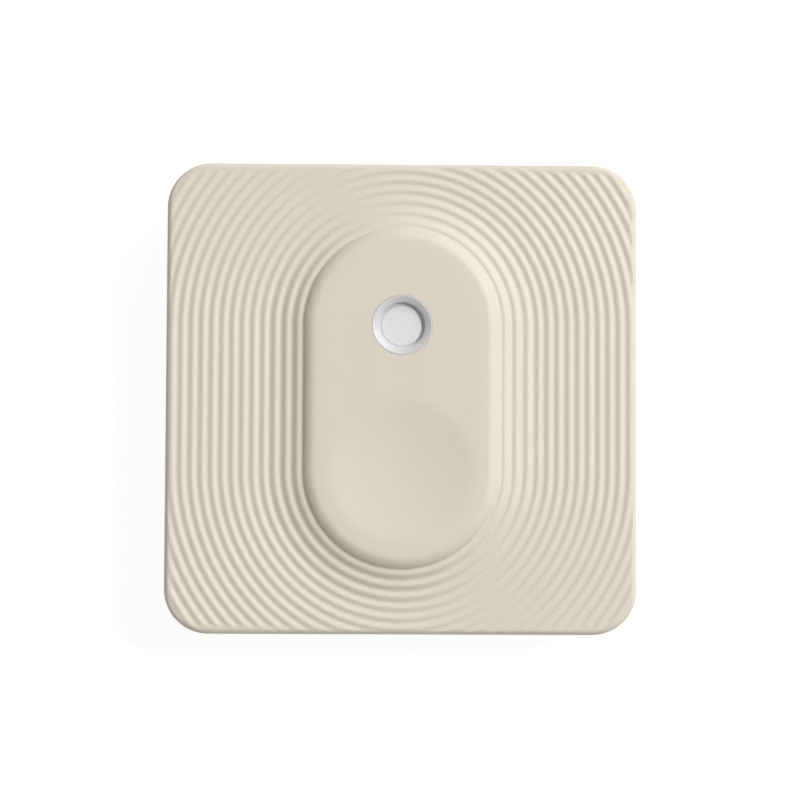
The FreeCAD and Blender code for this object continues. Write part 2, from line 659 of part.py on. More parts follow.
def coin_cell():
    """The 2032 cell, its can downwards: can, gasket, cap, and the three layers they hold."""
    fold = f"({CELL_FRONT} - cap_proud)"
    inside = "(cell_radius - can_wall)"
    seal = f"({inside} - gasket_wall)"
    mouth = "(cell_radius - fold_width)"
    cap = f"({mouth} - cap_gap)"
    floor = f"({CELL_BACK} + can_wall)"
    lip = f"({fold} - can_wall)"
    flange = f"({lip} - gasket_wall)"
    turned_piece("cell_can", [
        ("0", CELL_BACK), ("cell_radius", CELL_BACK), ("cell_radius", f"{fold} - fold_bevel"),
        ("cell_radius - fold_bevel", fold), (mouth, fold), (mouth, lip), (inside, lip), (inside, floor),
        ("0", floor),
    ])
    turned_piece("cell_gasket", [
        (seal, floor), (inside, floor), (inside, lip), (mouth, lip), (mouth, flange), (seal, flange),
    ])
    turned_piece("cell_cap", [
        ("0", f"{CELL_FRONT} - can_wall"), (f"{cap} - can_wall", f"{CELL_FRONT} - can_wall"),
        (f"{cap} - can_wall", f"{flange} - can_wall"), (seal, f"{flange} - can_wall"), (seal, flange),
        (cap, flange), (cap, f"{CELL_FRONT} - fold_bevel"), (f"{cap} - fold_bevel", CELL_FRONT),
        ("0", CELL_FRONT),
    ])
    tablet = f"({seal} - core_gap)"
    separator = f"({floor} + cathode_thick)"
    anode = f"({separator} + separator_thick)"
    rod("cell_cathode", "0", "0", floor, tablet, "cathode_thick")
    rod("cell_separator", "0", "0", separator, tablet, "separator_thick")
    rod("cell_anode", "0", "0", anode, f"{cap} - can_wall - core_gap", f"{CELL_FRONT} - can_wall - {anode}")
    return ["cell_can", "cell_gasket", "cell_cap", "cell_cathode", "cell_separator", "cell_anode"]


def tactile_switch():
    """Base with a well, sheet frame, snap dome, plunger and four terminals, under the button."""
    base = new_body("switch_base")
    plan = sketch_on(base, "switch_plan", offset=BOARD_FRONT)
    half_x, half_y = "switch_length / 2", "switch_width / 2"
    rectangle(plan, f"-{half_x}", f"{ARC_Y} - {half_y}", half_x, f"{ARC_Y} + {half_y}")
    pad(base, plan, "switch_height")
    well = sketch_on(base, "switch_well", offset=SWITCH_TOP)
    circle(well, "well_radius", y=ARC_Y)
    cut(base, well, f"{SWITCH_TOP} - {WELL_FLOOR}")

    frame = new_body("switch_frame")
    sheet_plan = sketch_on(frame, "frame_plan", offset=SWITCH_TOP)
    reach = f"({half_y} + frame_sheet)"
    rectangle(sheet_plan, f"-{half_x}", f"{ARC_Y} - {reach}", half_x, f"{ARC_Y} + {reach}")
    circle(sheet_plan, "plunger_radius + plunger_gap", y=ARC_Y)
    pad(frame, sheet_plan, "frame_sheet")
    tabs = sketch_on(frame, "frame_tabs", offset=f"{BOARD_FRONT} + switch_height / 4")
    rectangle(tabs, f"-{half_x} / 2", f"{ARC_Y} - {reach}", f"{half_x} / 2", f"{ARC_Y} - {half_y}")
    rectangle(tabs, f"-{half_x} / 2", f"{ARC_Y} + {half_y}", f"{half_x} / 2", f"{ARC_Y} + {reach}")
    pad(frame, tabs, "switch_height * 3 / 4")

    crown = f"({PLUNGER_BACK} - dome_clear)"
    rise = f"({crown} - {WELL_FLOOR})"
    inner_radius = "(dome_radius - dome_sheet)"
    inner_rise = f"({rise} - dome_sheet)"
    turned_piece("switch_dome", [
        (inner_radius, WELL_FLOOR), ("dome_radius", WELL_FLOOR), ("0", crown), ("0", f"{crown} - dome_sheet"),
    ], {1: f"-(dome_radius ^ 2 + {rise} ^ 2) / (2 * {rise})",
        3: f"({inner_radius} ^ 2 + {inner_rise} ^ 2) / (2 * {inner_rise})"}, y=ARC_Y)

    collar = "(plunger_radius + collar_width)"
    plunger_top = f"({BUTTON_BACK} - plunger_gap)"
    turned_piece("switch_plunger", [
        ("0", PLUNGER_BACK), (collar, PLUNGER_BACK), (collar, f"{PLUNGER_BACK} + collar_height"),
        ("plunger_radius", f"{PLUNGER_BACK} + collar_height"), ("plunger_radius", plunger_top), ("0", plunger_top),
    ], y=ARC_Y)

    terminals = []
    for side_x in (-1, 1):
        for side_y in (-1, 1):
            x = f"{side_x} * (switch_length + terminal_length) / 2"
            y = f"{ARC_Y} + {side_y} * (switch_width - terminal_width) / 2"
            name = f"terminal_{len(terminals) + 1}"
            terminals.append(block(name, x, y, BOARD_FRONT, "terminal_length", "terminal_width", "frame_sheet"))
    joined("switch_terminals", "Compound", terminals)
    return ["switch_base", "switch_frame", "switch_dome", "switch_plunger", "switch_terminals"]


def status_lights():
    """Two lights on the board, under the ring's skirt."""
    lights = []
    for side in (-1, 1):
        x = f"{side} * (switch_length / 2 + light_gap + light_width / 2)"
        name = f"light_{len(lights) + 1}"
        lights.append(block(name, x, ARC_Y, BOARD_FRONT, "light_width", "light_length", "light_height"))
    return joined("status_lights", "Compound", lights)


def humidity_sensor():
    """Sensor on its island, its membrane, and the foam seal that is open towards the vents."""
    y = f"(sensor_inset - {BOARD_HALF})"
    block("humidity_sensor", "0", y, BOARD_FRONT, "sensor_side", "sensor_side", "sensor_height")
    rod("sensor_membrane", "0", y, f"{BOARD_FRONT} + sensor_height", "membrane_radius", "membrane_thick")
    seal = new_body("sensor_seal")
    plan = sketch_on(seal, "seal_plan", offset=BOARD_FRONT)
    half = "(island_half - seal_inset)"
    wall = f"({half} - seal_wall)"
    low = f"-{BOARD_HALF}"
    high = f"(island_depth - seal_inset - {BOARD_HALF})"
    outline(plan, [(f"-{half}", low), (f"-{wall}", low), (f"-{wall}", f"{high} - seal_wall"),
                   (wall, f"{high} - seal_wall"), (wall, low), (half, low), (half, high), (f"-{half}", high)])
    pad(seal, plan, "part_room")
    return ["humidity_sensor", "sensor_membrane", "sensor_seal"]


def radio_parts():
    """Radio chip, both crystals, antenna, inductor, capacitors round the chip and a row of resistors."""
    x, y = f"(chip_inset - {BOARD_HALF})", "(-chip_down)"
    reach = "(chip_side / 2 + crystal_gap)"
    block("radio_chip", x, y, BOARD_FRONT, "chip_side", "chip_side", "chip_height")
    block("main_crystal", x, f"{y} - {reach} - crystal_width / 2", BOARD_FRONT,
          "crystal_length", "crystal_width", "crystal_height")
    block("clock_crystal", f"{x} - {reach} - clock_width / 2", y, BOARD_FRONT,
          "clock_width", "crystal_length", "crystal_height")
    block("chip_antenna", f"{BOARD_HALF} - antenna_inset - antenna_length / 2",
          f"{BOARD_HALF} - antenna_inset - antenna_width / 2", BOARD_FRONT,
          "antenna_length", "antenna_width", "antenna_height")
    block("inductor", f"{x} + {reach} + choke_width / 2", y, BOARD_FRONT,
          "choke_width", "choke_length", "choke_height")
    capacitors = []
    near = "(chip_side / 2 + small_gap + small_width / 2)"
    for side in (-1, 1):
        for place in (-1, 1):
            along = f"{place} * row_pitch * 2 / 3"
            ring = [
                (f"{x} + {side} * {near}", f"{y} + {along}", "small_width", "small_length"),
                (f"{x} + {along}", f"{y} + {side} * {near}", "small_length", "small_width"),
            ]
            for cap_x, cap_y, length, width in ring:
                name = f"capacitor_{len(capacitors) + 1}"
                capacitors.append(block(name, cap_x, cap_y, BOARD_FRONT, length, width, "capacitor_height"))
    joined("capacitors", "Compound", capacitors)
    resistors = []
    for number in range(RESISTORS):
        name = f"resistor_{number + 1}"
        resistors.append(block(name, f"-{x}", f"{y} - ({number} - 1) * row_pitch", BOARD_FRONT,
                               "small_length", "small_width", "resistor_height"))
    joined("resistors", "Compound", resistors)
    return ["radio_chip", "main_crystal", "clock_crystal", "chip_antenna", "inductor", "capacitors", "resistors"]


def write_parts(names):
    """Recompute, make sure that nothing failed, then write one file for each piece."""
    doc.recompute()
    for thing in doc.Objects:
        if "Invalid" in thing.State or "Error" in thing.State:
            raise RuntimeError(f"{thing.Name} failed: {thing.State}")
    pieces = [doc.getObject(name) for name in names]
    for piece in pieces:
        if piece.Shape.isNull() or not piece.Shape.isValid() or piece.Shape.Volume <= 0:
            raise RuntimeError(f"{piece.Label} has no sound shape")
    os.makedirs("parts", exist_ok=True)
    for piece in pieces:
        piece.Shape.exportStep(f"parts/{piece.Label}.step")
        print(f"{piece.Label}: {piece.Shape.Volume:.3f} mm3, {len(piece.Shape.Solids)} solid(s)")


fill_sheet()
made = [front_shell(), light_ring(), button_cap(), rear_cover(), adhesive_pad(), main_board(),
        board_screws(), battery_holder(), positive_contact(), negative_contact(), status_lights()]
names = [piece.Name for piece in made]
names += coin_cell() + tactile_switch() + humidity_sensor() + radio_parts()
write_parts(names)
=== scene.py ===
"""Looks of a square stick-on temperature and humidity sensor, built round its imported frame.

Metres. The sensor lies on its back on the floor: +Z points out of the ribbed front, +Y is the end
of the plinth that holds the button. Every piece is made in place and rides on a body of the frame.
"""
import math

import bmesh
import bpy
import numpy as np
from bpy.props import FloatProperty, FloatVectorProperty, IntProperty, PointerProperty
from mathutils import Matrix, Vector


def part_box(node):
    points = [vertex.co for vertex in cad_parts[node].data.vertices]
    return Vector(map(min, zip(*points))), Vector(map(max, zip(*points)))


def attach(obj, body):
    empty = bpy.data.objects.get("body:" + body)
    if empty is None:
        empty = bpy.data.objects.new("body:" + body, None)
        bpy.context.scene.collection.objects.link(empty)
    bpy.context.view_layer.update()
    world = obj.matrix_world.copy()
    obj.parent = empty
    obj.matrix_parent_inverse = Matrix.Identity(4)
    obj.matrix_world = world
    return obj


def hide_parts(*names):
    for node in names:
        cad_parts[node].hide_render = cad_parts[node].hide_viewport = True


bl_info = {
    "name": "Temperature and humidity sensor",
    "version": (1, 0, 0),
    "blender": (4, 5, 0),
    "location": "View3D > Sidebar > Sensor",
    "description": "Makes the sensor's ribbed front, ring, button, foam, board details, finishes and stage",
    "category": "Add Mesh",
}

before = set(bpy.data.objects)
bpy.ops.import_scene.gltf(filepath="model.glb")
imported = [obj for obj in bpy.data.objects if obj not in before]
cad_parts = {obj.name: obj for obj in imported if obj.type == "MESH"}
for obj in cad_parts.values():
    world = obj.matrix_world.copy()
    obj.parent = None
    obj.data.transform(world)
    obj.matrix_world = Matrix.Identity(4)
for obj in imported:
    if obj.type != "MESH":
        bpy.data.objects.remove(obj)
MM = 0.001
MICRO = 1e-6
DOUBLED = 1e-7  # points closer than this become one


def low(node, axis):
    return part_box(node)[0][axis]


def high(node, axis):
    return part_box(node)[1][axis]


def linear(hexes):
    """An sRGB hex colour as linear red, green, blue and alpha."""
    parts = [int(hexes[k:k + 2], 16) / 255 for k in (1, 3, 5)]
    return tuple(c / 12.92 if c <= 0.04045 else ((c + 0.055) / 1.055) ** 2.4 for c in parts) + (1.0,)


# Levels and half sizes that the frame gives.
CASE_HALF = high("front_shell", 0)
SPLIT = low("front_shell", 2)
FACE = high("front_shell", 2)
CEILING = high("sensor_seal", 2)
BOARD_FRONT = high("main_board", 2)
BOARD_BACK = low("main_board", 2)
BUTTON_Y = (low("button_cap", 1) + high("button_cap", 1)) / 2


# ---- settings ----

def amount(name, description, default, **kind):
    """A property that holds a number."""
    return FloatProperty(name=name, description=description, default=default, **kind)


def length(name, description, millimetres):
    """A property that holds a length."""
    return amount(name, description, millimetres * MM, unit="LENGTH", precision=5)


def angular(name, description, degrees):
    """A property that holds an angle."""
    return amount(name, description, math.radians(degrees), subtype="ANGLE")


def tint(name, description, hexes):
    """A property that holds a colour."""
    return FloatVectorProperty(name=name, description=description, default=linear(hexes)[:3],
                               subtype="COLOR", size=3, min=0, max=1)


class SensorFrontSizes(bpy.types.PropertyGroup):
    """Sizes of the front shell."""
    arc_spacing: length("Arc spacing", "Between the centres of the plinth's round ends", 2 * BUTTON_Y / MM)
    case_corner: length("Case corner", "Corner radius of the case, seen from the front", 3.4)
    rim_round: length("Rim rounding", "Rounding of the front rim, where the ribs fade out", 0.65)
    bevel: length("Parting bevel", "Bevel at the parting line", 0.15)
    crests: length("Crests", "Height of the rib crests", 8.45)
    rib_depth: length("Rib depth", "Depth of the grooves between ribs", 0.088)
    cove_depth: length("Cove rib depth", "Depth that the grooves reach towards the plinth", 0.17)
    first_groove: length("First groove", "Radius of the innermost groove", 7.5)
    cove_pitch: length("Cove pitch", "Pitch of the ribs on the cove", 0.86)
    cove_ribs: IntProperty(name="Cove ribs", description="How many ribs keep the cove's pitch", default=3)
    rib_pitch: length("Rib pitch", "Pitch of the other ribs", 0.78)
    cove_end: length("Cove end", "Radius where the field starts to climb to the plinth", 10.9)
    cove_radius: length("Cove radius", "Radius of the cove's profile", 9.0)
    face_radius: length("Face radius", "Flat face of the plinth, at its round ends", 6.5)
    shoulder: length("Shoulder", "Rounding of the plinth's shoulder", 1.1)
    shoulder_slope: angular("Shoulder slope", "Steepest slope of the shoulder", 62)
    foot_blend: length("Foot blend", "Softness of the corner at the plinth's foot", 0.12)
    dish_radius: length("Dish radius", "Radius of the finger dish", 5.4)
    dish_depth: length("Dish depth", "Depth of the finger dish", 0.35)
    dish_curve: amount("Dish curve", "Power of the dish's profile", 1.15)
    side_wall: length("Side wall", "Thickness of the side wall", 1.2)
    plinth_wall: length("Plinth wall", "Wall over the hollow in the plinth", 1.2)
    hollow_radius: length("Hollow radius", "Hollow under the plinth, at its round ends", 5.3)
    ring_hole: length("Ring hole", "Radius of the hole for the light ring", 2.304)
    boss_place: length("Boss place", "Screw bosses from the middle", 13.1)
    boss_radius: length("Boss radius", "Radius of the screw bosses", 1.9)
    pilot_radius: length("Pilot radius", "Radius of the screw holes in the bosses", 0.75)
    pilot_depth: length("Pilot depth", "Depth of the screw holes in the bosses", 1.55)
    vents: IntProperty(name="Vents", description="How many vent slots", default=5)
    vent_width: length("Vent width", "Width of a vent slot", 0.5)
    vent_height: length("Vent height", "Height of a vent slot", 0.9)
    vent_pitch: length("Vent pitch", "Pitch of the vent slots", 1.0)
    vent_corner: length("Vent corner", "Corner radius of a vent slot", 0.02)


class SensorRingSizes(bpy.types.PropertyGroup):
    """Sizes of the light ring and the button."""
    bore: length("Bore", "Radius of the ring's bore", 1.557)
    mouth: length("Mouth", "Radius of the ring's funnel-shaped mouth", 2.22)
    mouth_depth: length("Mouth depth", "Depth of that mouth", 0.28)
    mouth_curve: amount("Mouth curve", "Power by which the funnel flattens", 1.3)
    seat: length("Seat", "Radius of the step round the button, at the mouth's bottom", 1.75)
    seat_depth: length("Seat depth", "Depth of that step", 0.7)
    proud: length("Proud", "How far the ring stands out of the face", 0.01)
    collar: length("Collar", "Radius of the ring in the face", 2.3)
    flange: length("Flange", "Radius of the ring's flange", 3.2)
    flange_thick: length("Flange thickness", "Thickness of the flange", 0.4)
    skirt_wall: length("Skirt wall", "Wall of the skirt over the lights", 0.7)
    button_radius: length("Button radius", "Radius of the button's disc", 1.545)
    button_lip: length("Button lip", "Thickness of the button's lip", 0.35)
    edge: length("Edge", "Rounding of the edges", 0.03)
    rim_edge: length("Rim edge", "Sets how far the ring's rim slopes down to its seam in the face", 0.009)


class SensorFoamSizes(bpy.types.PropertyGroup):
    """Sizes of the foam pieces."""
    pad_corner: length("Pad corner", "Corner radius of the foam pad", 0.5)
    frame_wall: length("Frame wall", "Width of the seal's three strips", 0.7)
    frame_edge: length("Frame edge", "Softness of the seal's edges", 0.12)


class SensorBoardSizes(bpy.types.PropertyGroup):
    """Sizes of what lies on the circuit board."""
    track_width: length("Track width", "Width of the copper tracks", 0.2)
    track_rise: length("Track rise", "How far a track under the mask stands out", 0.02)
    track_bend: length("Track bend", "Radius of the tracks' bends", 0.25)
    ink_width: length("Ink width", "Width of the white part outlines", 0.13)
    ink_gap: length("Ink gap", "From a part to its white outline", 0.35)
    ink_corner: length("Ink corner", "Corner radius of the white part outlines", 0.2)
    end_run: length("Tinned end", "How far the tin runs over the end of a chip part", 0.2)
    end_skin: length("Tin skin", "How much wider the tin is than the part", 0.015)
    foot_run: length("Solder foot", "Length of the solder at a chip part's end", 0.35)
    land: length("Land", "Width of a land under the radio chip's edge", 0.24)
    land_pitch: length("Land pitch", "Pitch of those lands", 0.5)
    land_run: length("Land length", "Length of the lands under a square package", 0.5)
    land_rise: length("Land thickness", "Thickness of those lands", 0.12)
    via: length("Via", "Radius of a via's ring", 0.3)
    test_pad: length("Test pad", "Width of a test pad", 1.1)


class SensorColours(bpy.types.PropertyGroup):
    """Colours of the outer pieces."""
    shell: tint("Shell", "Ivory of the front shell and rear cover", "#DAD1C1")
    ring: tint("Ring", "White of the light ring", "#D3D2D4")
    button: tint("Button", "Light grey of the button", "#DEDFDF")


class SensorStage(bpy.types.PropertyGroup):
    """Camera and lights."""
    distance: length("Camera distance", "From the front's middle to the camera", 162)
    view_width: length("View width", "Width of what the camera frames, at the front's middle", 60.98)
    tilt_down: angular("Tilt down", "How far the camera stands towards the dish's end", 2.8)
    tilt_left: angular("Tilt left", "How far the camera stands to the left", 1.0)
    roll: angular("Roll", "How far the camera is turned counter-clockwise", 0.28)
    aim_x: length("Aim X", "Where the camera aims on the front", -0.122)
    aim_y: length("Aim Y", "Where the camera aims on the front", -0.16)
    aim_z: length("Aim Z", "Height that the camera aims at", 8.5)
    lamp_distance: length("Lamp distance", "From the sensor to both lamps", 1000)
    soft_azimuth: angular("Soft lamp azimuth", "Direction of the broad lamp, from +X to +Y", 42)
    soft_height: angular("Soft lamp height", "Elevation of the broad lamp", 35)
    soft_size: length("Soft lamp size", "Side of the broad lamp", 750)
    soft_power: amount("Soft lamp power", "Power of the broad lamp", 5.95, unit="POWER")
    small_azimuth: angular("Small lamp azimuth", "Direction of the small lamp, from +X to +Y", 20)
    small_height: angular("Small lamp height", "Elevation of the small lamp", 56)
    small_size: length("Small lamp size", "Side of the small lamp", 100)
    small_power: amount("Small lamp power", "Power of the small lamp", 4.4, unit="POWER")
    fill: amount("Fill", "Strength of the even light from all round", 0.29)
    paper: amount("Paper", "How much light the floor returns", 0.85)
    paper_glow: amount("Paper glow", "How bright the floor looks without light", 0.9)
    paper_shadow: amount("Paper shadow", "How much of the light the glowing floor shows as well", 0.25)


def settings_of(group):
    """The label of each setting in a group, by its key."""
    return {key: item.name for key, item in group.bl_rna.properties.items()
            if key not in ("rna_type", "name")}


# ---- nodes ----

def add(tree, kind, inputs=None, **settings):
    """A node with its settings.

    Each input, by name or number, gets a value, or the node or socket that feeds it.
    """
    node = tree.nodes.new(kind)
    for name, value in settings.items():
        setattr(node, name, value)
    for key, source in (inputs or {}).items():
        if isinstance(source, bpy.types.Node):
            source = source.outputs[0]
        if isinstance(source, bpy.types.NodeSocket):
            tree.links.new(source, node.inputs[key])
        else:
            node.inputs[key].default_value = source
    return node


def formula(tree, known, lines):
    """Math nodes from lines of (name, operation, terms).

    Each term is a number, a name known by then, or an inner (operation, terms).
    """
    made = dict(known)

    def worked_out(operation, *terms):
        sources = [worked_out(*term) if isinstance(term, tuple) else made.get(term, term)
                   for term in terms]
        return add(tree, "ShaderNodeMath", dict(enumerate(sources)), operation=operation)

    for name, *rule in lines:
        made[name] = worked_out(*rule)
    return made


def squared(term):
    return "MULTIPLY", term, term


def diagonal(across, up):
    """The formula for the distance that two sides span."""
    return "SQRT", ("MULTIPLY_ADD", up, up, squared(across))


def on_circle(radius, run):
    """The formula for a circle's height over its middle, this far out."""
    return "SQRT", ("SUBTRACT", squared(radius), squared(run))


def new_tree(name, sizes):
    """A Geometry Nodes tree with one geometry in and out and a number for each size, and its input node."""
    tree = bpy.data.node_groups.new(name, "GeometryNodeTree")
    for direction in ("INPUT", "OUTPUT"):
        tree.interface.new_socket("Geometry", in_out=direction, socket_type="NodeSocketGeometry")
    for size in sizes:
        tree.interface.new_socket(size, in_out="INPUT", socket_type="NodeSocketFloat")
    return tree, add(tree, "NodeGroupInput")


def end_tree(tree, shape, material):
    """Finish a tree: its instances made real, of one material, and out."""
    real = add(tree, "GeometryNodeRealizeInstances", {0: shape})
    made = add(tree, "GeometryNodeSetMaterial", {"Geometry": real, "Material": bpy.data.materials[material]})
    add(tree, "NodeGroupOutput", {0: made})
    return tree


def shape_with(piece, tree, sizes):
    """Run a tree over a piece with these sizes, and keep the result as its mesh."""
    modifier = piece.modifiers.new(tree.name, "NODES")
    modifier.node_group = tree
    for item in tree.interface.items_tree:
        if item.in_out == "INPUT" and item.name in sizes:
            modifier[item.identifier] = float(sizes[item.name])
    settle(piece)


def settle(piece):
    """Turn a piece's modifiers into its mesh."""
    evaluated = piece.evaluated_get(bpy.context.evaluated_depsgraph_get())
    old = piece.data
    piece.data = bpy.data.meshes.new_from_object(evaluated)
    piece.data.name = piece.name
    piece.modifiers.clear()
    bpy.data.meshes.remove(old)


# ---- meshes ----

def placed(name, data):
    """A new object in the scene."""
    made = bpy.data.objects.new(name, data)
    bpy.context.scene.collection.objects.link(made)
    return made


def new_piece(name, vertices, faces=(), edges=()):
    mesh = bpy.data.meshes.new(name)
    mesh.from_pydata([tuple(v) for v in vertices], list(edges), [tuple(f) for f in faces])
    return placed(name, mesh)


def merged(piece, distance=DOUBLED):
    """Join a piece's doubled points and drop what has no area."""
    bm = bmesh.new()
    bm.from_mesh(piece.data)
    bmesh.ops.remove_doubles(bm, verts=bm.verts, dist=distance)
    bmesh.ops.dissolve_degenerate(bm, edges=bm.edges, dist=distance / 4)
    bmesh.ops.recalc_face_normals(bm, faces=bm.faces)
    bm.to_mesh(piece.data)
    bm.free()
    return piece


def smooth(piece, degrees):
    """Smooth shading, with edges steeper than this kept sharp."""
    piece.data.polygons.foreach_set("use_smooth", [True] * len(piece.data.polygons))
    piece.data.set_sharp_from_angle(angle=math.radians(degrees))


def dressed(piece, material, degrees=40):
    """Smooth shading and one material."""
    smooth(piece, degrees)
    piece.data.materials.clear()
    piece.data.materials.append(bpy.data.materials[material])
    return piece


def bevelled(piece, width, segments):
    """Round all edges of a piece."""
    bevel = piece.modifiers.new("soft edges", "BEVEL")
    bevel.width = width
    bevel.segments = segments
    settle(piece)


def combine(piece, tool, operation):
    """Cut, join or trim a piece with another, which is used up."""
    modifier = piece.modifiers.new(operation, "BOOLEAN")
    modifier.operation = operation
    modifier.solver = "EXACT"
    modifier.object = tool
    bpy.context.view_layer.update()
    settle(piece)
    mesh = tool.data
    bpy.data.objects.remove(tool)
    bpy.data.meshes.remove(mesh)


def rounded_rectangle(half_x, half_y, corner, steps=12, middle=(0, 0)):
    """Points round a rectangle with rounded corners. A corner as large as a half side makes a pill."""
    points = []
    for quarter, (sign_x, sign_y) in enumerate(((1, 1), (-1, 1), (-1, -1), (1, -1))):
        for step in range(steps + 1):
            angle = math.pi / 2 * (quarter + step / steps)
            points.append((middle[0] + sign_x * (half_x - corner) + corner * math.cos(angle),
                           middle[1] + sign_y * (half_y - corner) + corner * math.sin(angle)))
    return points


def circle(radius, steps, middle=(0, 0)):
    """Points round a circle, with this many steps to each quarter."""
    return rounded_rectangle(radius, radius, radius, steps, middle)


def sides(rings, count, closed=False):
    """Faces between rings of points that follow each other. Closed, the last ring joins the first."""
    faces = []
    for ring in range(rings if closed else rings - 1):
        here, there = ring * count, (ring + 1) % rings * count
        faces += [(here + k, there + k, there + (k + 1) % count, here + (k + 1) % count)
                  for k in range(count)]
    return faces


def lofted(name, rings):
    """A solid through rings of points, capped at both ends."""
    points = [point for ring in rings for point in ring]
    count = len(rings[0])
    caps = [range(count), range(len(points) - count, len(points))]
    return merged(new_piece(name, points, caps + sides(len(rings), count)))


def prism(name, outline, bottom, top):
    """An upright solid on an outline."""
    return lofted(name, [[(x, y, level) for x, y in outline] for level in (bottom, top)])


def eased(outline, radii, steps=5):
    """A section whose named corners are rounded."""
    points = []
    for k, corner in enumerate(outline):
        here = Vector(corner)
        before = Vector(outline[k - 1]) - here
        after = Vector(outline[(k + 1) % len(outline)]) - here
        radius = radii.get(k, 0)
        if not radius:
            points.append(tuple(here))
            continue
        half = before.angle(after) / 2
        run = radius / math.tan(half)
        middle = here + (before.normalized() + after.normalized()).normalized() * radius / math.sin(half)
        start = here + before.normalized() * run - middle
        sweep = start.angle_signed(here + after.normalized() * run - middle)
        for step in range(steps + 1):
            spoke = start.copy()
            spoke.rotate(Matrix.Rotation(-sweep * step / steps, 2))
            points.append(tuple(middle + spoke))
    return points


def turned(name, section, steps=160):
    """A solid turned from a closed section of (radius, height) points about the button's axis."""
    points = []
    for step in range(steps):
        angle = 2 * math.pi * step / steps
        points += [(radius * math.cos(angle), BUTTON_Y + radius * math.sin(angle), z)
                   for radius, z in section]
    return merged(new_piece(name, points, sides(steps, len(section), closed=True)))


# ---- front shell ----

# How the front's mesh is spread: rays from the pill's middle line and its two ends, and rows that follow
# each other outwards.
STRAIGHT_RAYS = 31
ARC_RAYS = 180
ROWS_PER_RIB = 10
OUTER_RIBS = 16  # enough to pass the corners
DISH_ROWS, SHOULDER_ROWS, FOOT_ROWS, RIM_ROWS = 15, 8, 6, 10
ROW_GAP = 0.03 * MM  # rows closer to the rim than this move onto it


def inset_from_side(x, y, half, corner):
    """How far inside the rounded square's outline a point lies."""
    over_x, over_y = np.abs(x) - (half - corner), np.abs(y) - (half - corner)
    outside = np.hypot(np.maximum(over_x, 0), np.maximum(over_y, 0))
    return corner - outside - np.minimum(np.maximum(over_x, over_y), 0)


def front_rays(arc_y):
    """Start and direction of the lines that run out from the pill's middle line to the case's outline."""
    along = np.linspace(-arc_y, arc_y, STRAIGHT_RAYS, endpoint=False)
    turn = np.linspace(0, math.pi, ARC_RAYS, endpoint=False)
    start_y = np.concatenate([along, np.full_like(turn, arc_y)])
    way_x = np.concatenate([np.ones_like(along), np.cos(turn)])
    way_y = np.concatenate([np.zeros_like(along), np.sin(turn)])
    return [np.concatenate([half, -half]) for half in (start_y, way_x, way_y)]


def reach_of(inset, start_y, way_x, way_y, corner, halvings=50):
    """How far each line runs until it lies this far inside the outline."""
    near, far = np.zeros_like(start_y), np.full_like(start_y, 2 * CASE_HALF)
    for _ in range(halvings):
        middle = (near + far) / 2
        inside = inset_from_side(way_x * middle, start_y + way_y * middle, CASE_HALF, corner) > inset
        near, far = np.where(inside, middle, near), np.where(inside, far, middle)
    return near


def front_rows(size):
    """Radii of the mesh rows: close over the dish's edge, the shoulder and every rib."""
    run = size.shoulder * np.sin(np.linspace(0, size.shoulder_slope, SHOULDER_ROWS))
    foot = size.face_radius + run[-1]
    cove, outer = (np.arange(0, ribs, 1 / ROWS_PER_RIB) for ribs in (size.cove_ribs, OUTER_RIBS))
    return np.sort(np.concatenate([
        np.linspace(0, size.dish_radius, DISH_ROWS), [size.face_radius - 0.5 * MM], size.face_radius + run,
        np.linspace(foot, size.first_groove, FOOT_ROWS)[1:-1], size.first_groove + size.cove_pitch * cove,
        size.first_groove + size.cove_ribs * size.cove_pitch + size.rib_pitch * outer,
    ]))


def flat_front(size):
    """The front as a closed block whose top points, marked as relief, still lie at height 0."""
    start_y, way_x, way_y = rays = front_rays(size.arc_spacing / 2)
    rim = reach_of(size.rim_round, *rays, size.case_corner)
    reaches = [np.where(radius > rim - ROW_GAP, rim, radius) for radius in front_rows(size)]
    for angle in np.radians(np.linspace(0, 90, RIM_ROWS))[1:]:
        reaches.append(reach_of(size.rim_round * (1 - math.sin(angle)), *rays, size.case_corner))
    relief = len(reaches)
    reaches += [reaches[-1], reach_of(size.bevel, *rays, size.case_corner)]
    levels = [0.0] * relief + [SPLIT + size.bevel, SPLIT]
    count = len(start_y)
    points = []
    for reach, level in zip(reaches, levels):
        points += list(zip(way_x * reach, start_y + way_y * reach, np.full(count, level)))
    back = range(len(points) - count, len(points))
    piece = new_piece("front", points, [back] + sides(len(reaches), count))
    mark = piece.data.attributes.new("relief", "BOOLEAN", "POINT")
    mark.data.foreach_set("value", [row < relief for row in range(len(reaches)) for _ in range(count)])
    return merged(piece, 0.004 * MM)


